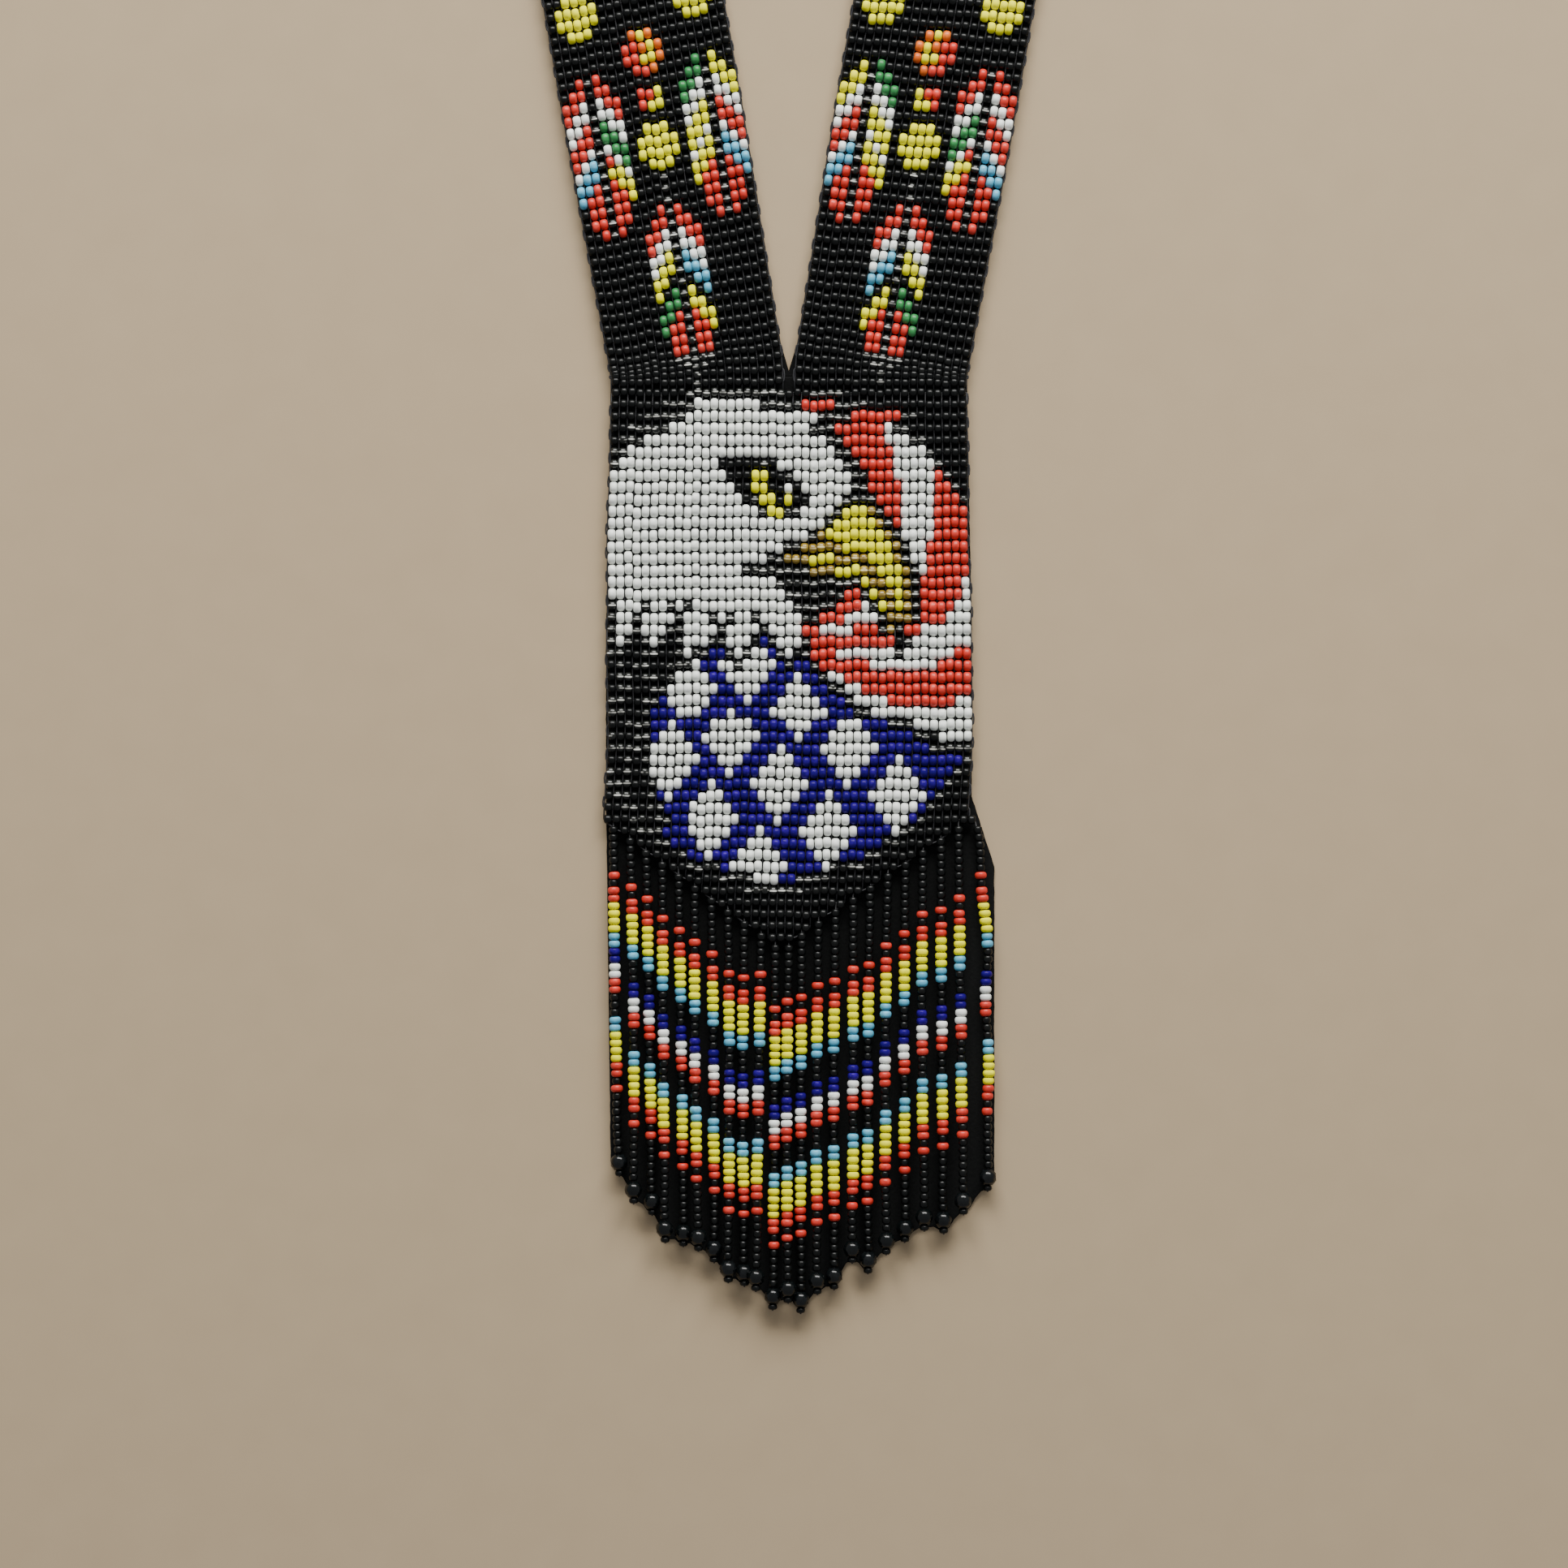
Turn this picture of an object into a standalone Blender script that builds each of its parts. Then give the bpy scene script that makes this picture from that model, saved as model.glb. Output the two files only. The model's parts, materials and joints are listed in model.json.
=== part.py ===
"""A loom-woven seed-bead necklace, lying face up on a table.

A woven panel splits into two woven straps, which part at a V, run beside each other,
twist on edge and meet at the nape in one closed loop. A fringe of bead strands hangs
from the steps of the panel's lower edge. A thin felt lining backs all of it.

Metres, +Z up, the fringe towards -Y. The woven cloth is a slab as thick as its beads.
"""

import math

import bmesh
import bpy
from mathutils import Vector

MM = 0.001

# Beads and threads
BEAD_LENGTH = 1.49 * MM          # from bead to bead along a woven row
ROW_PITCH = 2.086 * MM           # from woven row to woven row
CLOTH_HALF = 1.0 * MM            # half the thickness of the woven cloth
STRAND_BEAD = 1.34 * MM          # from bead to bead along a fringe strand
STRAND_RADIUS = 1.0 * MM
THREAD_RADIUS = 0.3 * MM
GAP = 0.3 * MM                   # clearance between neighbouring pieces

# Felt lining
FELT = 0.5 * MM
FELT_MARGIN = 0.2 * MM           # how far the felt shows past the beads
FELT_TO_CLOTH = 0.35 * MM        # the stitches hold the cloth this far above the felt

# The woven panel, in rows counted down from the V
COLUMNS = 43
FOLD_ROW = 20                    # the panel folds forward along this row
LAST_FULL_ROW = 36
STEP_ROWS = 10                   # each of these rows loses two beads at each end
STEP_BEADS = 2
TOP_TAPER = 0.8 * MM             # each side of the panel draws in by this at the V
LOWER_DRIFT = 1.3 * MM           # the last rows sit this far to the left
DRIFT_ROW = 30                   # and begin to drift here
EAR_BEADS = 1                    # the last full row has this many more at its right end

# The straps
STRAP_COLUMNS = 21
STRAP_ROWS = 144
FRONT_ROWS = 72                  # the loop folds along the last of these rows
CROWDED_ROWS = 6                 # a strap's first rows, of small beads only, sit closer
CROWDING = 3.0 * MM              # and take this much less length
STRAP_TAPER = 0.55 * MM          # each edge of a strap draws in by this at the V
TAPER_LENGTH = 55 * MM
LEAN = math.radians(9.8)         # how far the straps lean outwards
LEAN_IN = 6 * MM                 # they reach that lean over this length
LEAN_HOLD = 72 * MM              # they hold it up to here
LEAN_OUT = 130 * MM              # and are parallel from here
TWIST_LENGTH = 70 * MM
WEB_TOP = 2.9 * MM               # the felt fills the V up to here
WEB_SIDE = 5 * MM                # and follows the straps' inner edges from here

# The fringe
STRAND_BEADS = (43, 45, 45, 47, 46, 45, 45, 46, 45, 44, 45, 44,
                47, 46, 47, 45, 48, 47, 47, 47, 49, 48, 45)
CENTRE_STRANDS = (-2.4 * MM, 0.0)  # the two that hang from the last row
STRAND_SPREAD = (-0.3 * MM, 2.96 * MM, 0.0219 * MM)  # strand ends: offset, spacing, fan
STRAND_BUNCH = 1.25 * MM         # and how far they crowd towards the middle
FIRST_BEAD = 1.15 * MM           # from a row's axis to its strand's first bead
ROD_START = 1.75 * MM            # the strand's solid begins here, clear of the row
END_BEAD_RADIUS = 1.3 * MM
ALTERNATE_LIFT = 1.2 * MM        # every other end bead rides up between its neighbours
END_BEAD_LENGTH = 2.5 * MM
END_BEAD_BORE = THREAD_RADIUS + GAP
END_BEAD_TAPER = 0.62            # its ends' radius, as a share of its widest
END_BEAD_BELT = 0.38             # the widest part's length, as a share of the bead's
STRAND_SIDES = 8
STRAND_EDGE = 0.25 * MM          # chamfer at a strand's ends
FELT_PAST_BEADS = 3.6 * MM       # how far the felt reaches past an end bead's centre
FELT_CORNER_ROW = 34             # the felt leaves the panel's sides here
FELT_SHOULDER_ROW = 40           # and is as wide as the fringe from here, on the right

# Folds
NOSE_START = 1.35 * MM           # a folding piece begins this far from its axis
NOSE_HALF = 0.5 * MM             # half its thickness there
NOSE_LENGTH = 0.6 * MM           # it is full thickness after this length
ROUND_STEPS = (0, 30, 55, 78)    # degrees round the edge that it folds about

STATION = 3 * MM                 # length of one facet along a strap
PATH_STEP = 0.5 * MM

AXIS_Z = FELT + FELT_TO_CLOTH + CLOTH_HALF
FELT_DROP = AXIS_Z - FELT / 2    # from the beads' axes to the middle of the felt
PANEL_HALF = COLUMNS * BEAD_LENGTH / 2
STRAP_HALF = STRAP_COLUMNS * BEAD_LENGTH / 2
TOP_HALF = PANEL_HALF - TOP_TAPER
STRAP_FELT_HALF = STRAP_HALF + FELT_MARGIN
STRAP_CENTRE = TOP_HALF - (STRAP_HALF - STRAP_TAPER)
STRAP_LENGTH = STRAP_ROWS * ROW_PITCH - CROWDING
STRANDS = len(STRAND_BEADS)

# Plain colours
WHITE = (0.70, 0.71, 0.67)
COBALT = (0.01, 0.005, 0.30)
BLACK = (0.010, 0.011, 0.012)
FELT_BLACK = (0.006, 0.006, 0.007)


def smooth(t):
    """Ease from 0 to 1."""
    t = min(max(t, 0.0), 1.0)
    return t * t * (3 - 2 * t)


def row_y(row):
    """The axis of a panel row, with the V line at y = 0."""
    return -(row + 0.5) * ROW_PITCH


def drift(row):
    """Sideways drift of the panel's last rows."""
    last_row = LAST_FULL_ROW + STEP_ROWS
    return -LOWER_DRIFT * smooth((row - DRIFT_ROW) / (last_row - DRIFT_ROW))


def panel_half(row):
    """Half the upper panel's width at a row."""
    return TOP_HALF + TOP_TAPER * min(row / FOLD_ROW, 1.0)


# ---------------------------------------------------------------- the left strap's path

def lean(s):
    """Heading away from +Y, positive outwards, at distance s along the flat strap."""
    if s < LEAN_HOLD:
        return LEAN * smooth(s / LEAN_IN)
    return LEAN * (1 - smooth((s - LEAN_HOLD) / (LEAN_OUT - LEAN_HOLD)))


def nape_radius():
    """Half the distance between the parallel straps' centre lines."""
    steps = round(LEAN_OUT / PATH_STEP)
    outwards = sum(math.sin(lean((i + 0.5) * PATH_STEP)) for i in range(steps))
    return STRAP_CENTRE + outwards * PATH_STEP


NAPE_RADIUS = nape_radius()
SEAM_SIDE = 2 * GAP              # where each strap ends beside the nape seam
SEAM_HALF = 0.9 * MM             # half the nape seam's thickness
TWIST_END = STRAP_LENGTH + SEAM_SIDE - NAPE_RADIUS * math.pi / 2
TWIST_START = TWIST_END - TWIST_LENGTH


def heading(s):
    """The strap's heading all the way round to the nape."""
    if s < TWIST_END:
        return lean(s)
    return -(s - TWIST_END) / NAPE_RADIUS


def roll(s):
    """The strap's twist: 0 lies face up, a quarter turn faces outwards."""
    return smooth((s - TWIST_START) / TWIST_LENGTH) * math.pi / 2


def centre_height(s):
    """Height of the strap's centre line, with its outer edge on the table."""
    return AXIS_Z * math.cos(roll(s)) + STRAP_FELT_HALF * math.sin(roll(s))


def build_path():
    """Centre points of the left strap, one for each PATH_STEP."""
    length = STRAP_LENGTH + SEAM_SIDE
    steps = math.ceil(length / PATH_STEP) + 1
    x, y = -STRAP_CENTRE, 0.0
    points = [Vector((x, y, centre_height(0)))]
    for i in range(steps):
        s = (i + 0.5) * PATH_STEP
        rise = centre_height((i + 1) * PATH_STEP) - centre_height(i * PATH_STEP)
        run = math.sqrt(PATH_STEP ** 2 - rise ** 2)
        x -= run * math.sin(heading(s))
        y += run * math.cos(heading(s))
        points.append(Vector((x, y, centre_height((i + 1) * PATH_STEP))))
    return points


PATH = build_path()


def strap_frame(s):
    """Centre, direction towards the inner edge, and bead-face normal at distance s."""
    place = s / PATH_STEP
    i = min(int(place), len(PATH) - 2)
    centre = PATH[i].lerp(PATH[i + 1], place - i)
    along = (PATH[i + 1] - PATH[i]).normalized()
    flat_inner = Vector((math.cos(heading(s)), math.sin(heading(s)), 0))
    flat_face = flat_inner.cross(along)
    inner = flat_inner * math.cos(roll(s)) + flat_face * math.sin(roll(s))
    face = flat_face * math.cos(roll(s)) - flat_inner * math.sin(roll(s))
    return centre, inner, face


def strap_row_s(row):
    """Distance of a strap row's axis from the V line, rows counted from 1."""
    return (row - 0.5) * ROW_PITCH - CROWDING * smooth(row / CROWDED_ROWS)


def strap_taper(s):
    """How far a strap's edges are drawn in at distance s."""
    return STRAP_TAPER * (1 - smooth(s / TAPER_LENGTH))


REAR_FOLD_S = strap_row_s(FRONT_ROWS)
REAR_FOLD_Y = strap_frame(REAR_FOLD_S)[0].y
NECK_FOLD_Y = row_y(0)
PANEL_FOLD_Y = row_y(FOLD_ROW)


# ---------------------------------------------------------------- mesh helpers

def clear_scene():
    for item in list(bpy.data.objects):
        bpy.data.objects.remove(item, do_unlink=True)


def make_material(name, colour, roughness):
    material = bpy.data.materials.new(name)
    material.use_nodes = True
    shader = material.node_tree.nodes["Principled BSDF"]
    shader.inputs["Base Color"].default_value = (*colour, 1.0)
    shader.inputs["Roughness"].default_value = roughness
    shader.inputs["Metallic"].default_value = 0.0
    return material


def add_object(name, mesh_data, material, origin, parent, round_piece=False):
    """One named object, with its origin on its joint's axis."""
    bmesh.ops.recalc_face_normals(mesh_data, faces=mesh_data.faces)
    bmesh.ops.triangulate(mesh_data, faces=mesh_data.faces)
    bmesh.ops.translate(mesh_data, verts=mesh_data.verts, vec=-origin)
    mesh = bpy.data.meshes.new(name)
    mesh_data.to_mesh(mesh)
    mesh_data.free()
    mesh.materials.append(material)
    if round_piece:
        mesh.shade_smooth()
        mesh.set_sharp_from_angle(angle=math.radians(30))
    item = bpy.data.objects.new(name, mesh)
    item.location = origin
    item.parent = parent
    bpy.context.collection.objects.link(item)
    return item


def loft(sections):
    """A closed solid through sections of equally many points.

    The diagonals on a section's first half lean the other way from its second half, so
    that the facing sides of two cloths, one on the other, have the same facets.
    """
    body = bmesh.new()
    rings = [[body.verts.new(point) for point in section] for section in sections]
    count = len(rings[0])
    for low, high in zip(rings, rings[1:]):
        for i in range(count):
            j = (i + 1) % count
            if i < count / 2:
                body.faces.new((low[i], low[j], high[j]))
                body.faces.new((low[i], high[j], high[i]))
            else:
                body.faces.new((low[i], low[j], high[i]))
                body.faces.new((low[j], high[j], high[i]))
    body.faces.new(rings[0])
    body.faces.new(rings[-1])
    return body


def plate(outline, low, high):
    """A flat outline, extruded from one height to another."""
    body = bmesh.new()
    face = body.faces.new([body.verts.new((x, y, low)) for x, y in outline])
    extruded = bmesh.ops.extrude_face_region(body, geom=[face])
    top = [item for item in extruded["geom"] if isinstance(item, bmesh.types.BMVert)]
    bmesh.ops.translate(body, verts=top, vec=(0, 0, high - low))
    return body


def mirrored(points):
    """The same points on the right-hand side, in reverse order."""
    return [Vector((-p[0], *p[1:])) for p in reversed(points)]


# ---------------------------------------------------------------- sections of the cloth

def fold_profile(start, end):
    """Pairs of (place, half thickness) for a cloth that others fold about, at both ends."""
    rounds = [math.radians(angle) for angle in ROUND_STEPS]
    first = [(start - CLOTH_HALF * math.sin(a), CLOTH_HALF * math.cos(a)) for a in reversed(rounds)]
    last = [(end + CLOTH_HALF * math.sin(a), CLOTH_HALF * math.cos(a)) for a in rounds]
    return first, last


def spaced(start, end, spacing):
    """Evenly spaced places from start to end, both included."""
    count = max(1, round((end - start) / spacing))
    return [start + (end - start) * i / count for i in range(count + 1)]


def strap_section(s, half_width, half_thick, drop=0.0):
    """A strap's or its felt's section at distance s, drop below the beads' axes."""
    centre, inner, face = strap_frame(s)
    middle = centre - face * drop
    half_width -= strap_taper(s)
    across = (half_width, 0.0, -half_width)
    back = [middle + inner * place - face * half_thick for place in across]
    front = [middle + inner * place + face * half_thick for place in reversed(across)]
    return front[-1:] + back + front[:-1]


def mirror_section(section):
    """The same corners on the other strap."""
    return [Vector((-p.x, p.y, p.z)) for p in section]


def strap_stations(fold, end):
    """Distances along a strap of full thickness, from just past a fold."""
    return spaced(fold + NOSE_START + NOSE_LENGTH, end, STATION)


def strap_profile(fold, end, folds_at_end):
    """(distance, half thickness) along a woven strap that starts beside a fold."""
    profile = [(fold + NOSE_START, NOSE_HALF)]
    profile += [(s, CLOTH_HALF) for s in strap_stations(fold, end)]
    if folds_at_end:
        profile += fold_profile(fold, end)[1][1:]
    return profile


# ---------------------------------------------------------------- the pieces

def panel_outline():
    """The lower panel's stepped outline, from its fold down to the last row and back."""
    def edge(row, side):
        lost = STEP_BEADS * max(0, row - LAST_FULL_ROW)
        half = (COLUMNS - 2 * lost) * BEAD_LENGTH / 2
        ear = EAR_BEADS * BEAD_LENGTH if row == LAST_FULL_ROW and side > 0 else 0.0
        return side * half + ear + drift(row)

    start = PANEL_FOLD_Y - NOSE_START
    rows = range(FOLD_ROW + 1, LAST_FULL_ROW + STEP_ROWS + 1)
    left, right = [(edge(rows[0], -1), start)], [(edge(rows[0], 1), start)]
    for row in rows:
        top = start if row == rows[0] else -row * ROW_PITCH
        bottom = -(row + 1) * ROW_PITCH
        steps = row >= LAST_FULL_ROW
        if steps:
            left.append((edge(row, -1), top))
            right.append((edge(row, 1), top))
        if steps or row == LAST_FULL_ROW - 1:
            left.append((edge(row, -1), bottom))
            right.append((edge(row, 1), bottom))
    outline = []
    for point in left + right[::-1]:
        if not outline or (Vector(point) - Vector(outline[-1])).length > GAP / 30:
            outline.append(point)
    return outline


def upper_panel():
    """The woven cloth from the V down to the panel's fold, rounded at both folds."""
    first, last = fold_profile(-NECK_FOLD_Y, -PANEL_FOLD_Y)
    sections = []
    for place, half in first + last:
        side = panel_half(max(place / ROW_PITCH - 0.5, 0.0))
        sections.append([Vector((x, -place, AXIS_Z + z)) for x, z in (
            (-side, -half), (side, -half), (side, half), (-side, half))])
    return loft(sections)


def lower_panel():
    """The stepped cloth below the fold, with its first edge thinned so that it can fold."""
    body = plate(panel_outline(), AXIS_Z - CLOTH_HALF, AXIS_Z + CLOTH_HALF)
    start = PANEL_FOLD_Y - NOSE_START
    lip = [e for e in body.edges if all(abs(v.co.y - start) < GAP / 10 for v in e.verts)
           and abs(e.verts[0].co.z - e.verts[1].co.z) < GAP / 10]
    bmesh.ops.bevel(body, geom=lip, offset=CLOTH_HALF - NOSE_HALF, segments=1, affect="EDGES")
    return body


def strand_row(index):
    """The panel row that a strand hangs from, strands counted from 0 at the left."""
    left_count = STEP_ROWS
    if index < left_count:
        return LAST_FULL_ROW + index
    if index < left_count + len(CENTRE_STRANDS):
        return LAST_FULL_ROW + STEP_ROWS
    return max(LAST_FULL_ROW, LAST_FULL_ROW + STRANDS - 2 - index)


def strand_top_x(index):
    """Where a strand leaves its row: beside the step, or under the last row."""
    row = strand_row(index)
    if row == LAST_FULL_ROW + STEP_ROWS:
        return CENTRE_STRANDS[index - STEP_ROWS]
    beside = (COLUMNS / 2 - STEP_BEADS * (row + 1 - LAST_FULL_ROW)) * BEAD_LENGTH
    beside += STRAND_RADIUS + GAP
    if index < STEP_ROWS:
        return drift(row + 1) - beside
    if index == STRANDS - 1:
        return beside + 2 * STRAND_RADIUS + GAP
    return drift(row + 1) + beside


def strand_end_x(index):
    """Where a strand's end bead lies: the strands fan out a little."""
    offset, spacing, fan = STRAND_SPREAD
    n = index - STRANDS // 2
    bunch = STRAND_BUNCH * math.sin(2 * math.pi * n / STRANDS)
    return offset + spacing * n + fan * n * n - bunch


def strand_places(index):
    """Distances along a strand from its row's axis: last bead, end bead, stop bead, tip."""
    beads_end = FIRST_BEAD + STRAND_BEADS[index] * STRAND_BEAD
    end_bead = beads_end + GAP + END_BEAD_LENGTH / 2
    stop_bead = beads_end + 2 * GAP + END_BEAD_LENGTH
    return beads_end, end_bead, stop_bead, stop_bead + STRAND_BEAD


def strand_line(index):
    """A strand's hinge point and its direction."""
    hinge = Vector((strand_top_x(index), row_y(strand_row(index)), AXIS_Z))
    end_bead = strand_places(index)[1]
    lift = FELT + GAP + END_BEAD_RADIUS - AXIS_Z + ALTERNATE_LIFT * (index % 2)
    sideways = strand_end_x(index) - hinge.x
    down = math.sqrt(end_bead ** 2 - lift ** 2 - sideways ** 2)
    return hinge, Vector((sideways, -down, lift)) / end_bead


def turned(profile, start, direction, sides):
    """A solid turned about a line, from (distance, radius) pairs."""
    across = direction.orthogonal().normalized()
    other = direction.cross(across)
    sections = []
    for distance, radius in profile:
        ring = []
        for k in range(sides):
            angle = 2 * math.pi * (k + 0.5) / sides
            ring.append(start + direction * distance
                        + (across * math.cos(angle) + other * math.sin(angle)) * radius)
        sections.append(ring)
    return loft(sections)


def fringe_strand(index):
    """One strand: its seed beads, the bare thread inside the end bead, and the stop bead."""
    hinge, direction = strand_line(index)
    beads_end, _, stop_bead, tip = strand_places(index)
    profile = [
        (ROD_START, STRAND_RADIUS - STRAND_EDGE),
        (ROD_START + STRAND_EDGE, STRAND_RADIUS),
        (beads_end - STRAND_EDGE, STRAND_RADIUS),
        (beads_end, STRAND_RADIUS - STRAND_EDGE),
        (beads_end, THREAD_RADIUS),
        (stop_bead, THREAD_RADIUS),
        (stop_bead, STRAND_RADIUS - STRAND_EDGE),
        (stop_bead + STRAND_EDGE, STRAND_RADIUS),
        (tip - STRAND_EDGE, STRAND_RADIUS),
        (tip, STRAND_RADIUS - STRAND_EDGE),
    ]
    return turned(profile, hinge, direction, STRAND_SIDES)


def end_bead(index):
    """The faceted bead at a strand's end, open along its thread."""
    hinge, direction = strand_line(index)
    middle = strand_places(index)[1]
    half = END_BEAD_LENGTH / 2
    belt, narrow = half * END_BEAD_BELT, END_BEAD_RADIUS * END_BEAD_TAPER
    profile = [
        (middle - half, narrow),
        (middle - belt, END_BEAD_RADIUS),
        (middle + belt, END_BEAD_RADIUS),
        (middle + half, narrow),
        (middle + half, END_BEAD_BORE),
        (middle - half, END_BEAD_BORE),
    ]
    body = turned(profile, hinge, direction, STRAND_SIDES)
    caps = [face for face in body.faces if len(face.verts) == STRAND_SIDES]
    bmesh.ops.delete(body, geom=caps, context="FACES")
    open_edges = [edge for edge in body.edges if edge.is_boundary]
    bmesh.ops.bridge_loops(body, edges=open_edges)
    return body


def felt_outline_below_fold():
    """The lower lining: past the panel's sides, and round the ends of the strands."""
    side = PANEL_HALF + FELT_MARGIN
    start = PANEL_FOLD_Y - GAP
    corner = row_y(FELT_CORNER_ROW)
    ends = []
    for index in range(STRANDS):
        hinge, direction = strand_line(index)
        point = hinge + direction * (strand_places(index)[1] + FELT_PAST_BEADS)
        ends.append((point.x, point.y))
    past = 2 * STRAND_RADIUS
    left_end = (ends[0][0] - past, ends[0][1] + FELT_PAST_BEADS)
    right_end = (ends[-1][0] + past, ends[-1][1] + FELT_PAST_BEADS)
    shoulder = (right_end[0], row_y(FELT_SHOULDER_ROW))
    return [(-side, start), (-side, corner), left_end, *ends, right_end, shoulder,
            (side, corner), (side, start)]


def upper_lining():
    """The felt behind the upper panel, between the two folds."""
    narrow, wide = TOP_HALF + FELT_MARGIN, PANEL_HALF + FELT_MARGIN
    top, bottom = NECK_FOLD_Y, PANEL_FOLD_Y
    return plate([(-narrow, top), (-wide, bottom), (wide, bottom), (narrow, top)], 0.0, FELT)


def neck_front_lining():
    """One piece of felt behind both front straps, joined by a web across the V."""
    outer, inner = [], []
    for s in spaced(NECK_FOLD_Y + GAP, REAR_FOLD_S, STATION):
        centre, to_inner, _ = strap_frame(max(s, 0.0))
        half = STRAP_FELT_HALF - strap_taper(s)
        outer.append((centre - to_inner * half).xy)
        if s > WEB_SIDE:
            inner.append((centre + to_inner * half).xy)
    outer[0].y = NECK_FOLD_Y + GAP
    left = outer + inner[::-1]
    return plate([*left, Vector((0.0, WEB_TOP)), *mirrored(left)], 0.0, FELT)


def woven_strap(fold, end, folds_at_end, mirror):
    """A woven strap from beside a fold to a further distance, on either side."""
    profile = strap_profile(fold, end, folds_at_end)
    sections = [strap_section(s, STRAP_HALF, half) for s, half in profile]
    if mirror:
        sections = [mirror_section(section) for section in reversed(sections)]
    return loft(sections)


def rear_lining():
    """One strip of felt inside the rear loop, from fold to fold round the nape."""
    end = STRAP_LENGTH + SEAM_SIDE
    places = [REAR_FOLD_S + GAP, *strap_stations(REAR_FOLD_S, STRAP_LENGTH), end]
    left = [strap_section(s, STRAP_FELT_HALF, FELT / 2, FELT_DROP) for s in places]
    right = [mirror_section(section) for section in reversed(left[:-1])]
    return loft(left + right)


def nape_seam():
    """The whipped thread seam that closes the loop between the two straps' ends."""
    centre, _, face = strap_frame(STRAP_LENGTH + SEAM_SIDE)
    half_wide, half_thick = GAP, SEAM_HALF
    low, high = centre.z - STRAP_HALF, centre.z + STRAP_HALF
    y_in, y_out = centre.y - half_thick, centre.y + half_thick
    return plate([(-half_wide, y_in), (half_wide, y_in), (half_wide, y_out), (-half_wide, y_out)],
                 low, high)


# ---------------------------------------------------------------- assembly

def frame_shift():
    """Moves the V line so that the whole necklace is centred on the origin along Y."""
    nape_y = strap_frame(STRAP_LENGTH)[0].y + CLOTH_HALF
    felt_y = min(y for _, y in felt_outline_below_fold())
    return -(nape_y + felt_y) / 2


def build():
    clear_scene()
    necklace = bpy.data.objects.new("necklace_frame", None)
    necklace.location = (0, frame_shift(), 0)
    bpy.context.collection.objects.link(necklace)

    white = make_material("white_beads", WHITE, 0.35)
    cobalt = make_material("cobalt_beads", COBALT, 0.15)
    black = make_material("black_beads", BLACK, 0.15)
    felt = make_material("black_felt", FELT_BLACK, 0.95)

    rest = Vector((0, 0, 0))
    neck_axis = Vector((0, NECK_FOLD_Y, AXIS_Z))
    panel_axis = Vector((0, PANEL_FOLD_Y, AXIS_Z))
    rear_axis = Vector((0, REAR_FOLD_Y, AXIS_Z))

    add_object("upper_panel", upper_panel(), white, rest, necklace)
    add_object("upper_lining", upper_lining(), felt, rest, necklace)
    add_object("lower_panel", lower_panel(), cobalt, panel_axis, necklace)
    lower_felt = plate(felt_outline_below_fold(), 0.0, FELT)
    add_object("lower_lining", lower_felt, felt, panel_axis, necklace)

    for name, mirror in (("left", False), ("right", True)):
        front = woven_strap(NECK_FOLD_Y, REAR_FOLD_S, True, mirror)
        rear = woven_strap(REAR_FOLD_S, STRAP_LENGTH, False, mirror)
        add_object(name + "_strap_front", front, black, neck_axis, necklace)
        add_object(name + "_strap_rear", rear, black, rear_axis, necklace)
    add_object("neck_front_lining", neck_front_lining(), felt, neck_axis, necklace)
    add_object("rear_lining", rear_lining(), felt, rear_axis, necklace)
    add_object("nape_seam", nape_seam(), felt, rear_axis, necklace)

    for index in range(STRANDS):
        hinge = strand_line(index)[0]
        number = f"{index + 1:02d}"
        strand = fringe_strand(index)
        add_object("fringe_strand_" + number, strand, black, hinge, necklace, round_piece=True)
        add_object("end_bead_" + number, end_bead(index), black, hinge, necklace)


build()
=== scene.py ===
"""The looks of a loom-woven bead necklace: every bead and thread, and the felt behind them."""

import json
import math

import bmesh
import bpy
import numpy as np
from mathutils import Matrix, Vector


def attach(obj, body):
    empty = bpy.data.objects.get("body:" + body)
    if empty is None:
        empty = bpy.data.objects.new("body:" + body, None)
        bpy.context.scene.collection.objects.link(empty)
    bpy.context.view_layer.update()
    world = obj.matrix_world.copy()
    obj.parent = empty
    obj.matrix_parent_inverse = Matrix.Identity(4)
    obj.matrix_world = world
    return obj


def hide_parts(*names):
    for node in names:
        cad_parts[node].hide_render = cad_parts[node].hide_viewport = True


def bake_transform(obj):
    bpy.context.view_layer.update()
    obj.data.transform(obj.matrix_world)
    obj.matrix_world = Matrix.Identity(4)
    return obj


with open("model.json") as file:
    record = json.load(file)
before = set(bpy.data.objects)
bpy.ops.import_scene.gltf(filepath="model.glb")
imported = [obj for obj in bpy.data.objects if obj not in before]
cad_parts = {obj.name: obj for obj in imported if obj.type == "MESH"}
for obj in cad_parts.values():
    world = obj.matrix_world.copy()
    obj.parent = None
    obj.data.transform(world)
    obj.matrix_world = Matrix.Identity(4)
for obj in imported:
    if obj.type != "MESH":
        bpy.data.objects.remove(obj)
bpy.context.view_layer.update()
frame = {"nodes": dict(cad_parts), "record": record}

MM = 0.001
rng = np.random.default_rng(11)

# ------------------------ sizes, in metres
# Those of the cloth, the straps' path and the strands' lines are the CAD's own.

BEAD_LENGTH = 1.49 * MM  # from bead to bead along a woven row
ROW_PITCH = 2.086 * MM  # from woven row to woven row
STRAND_BEAD = 1.34 * MM  # from bead to bead along a fringe strand

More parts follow.
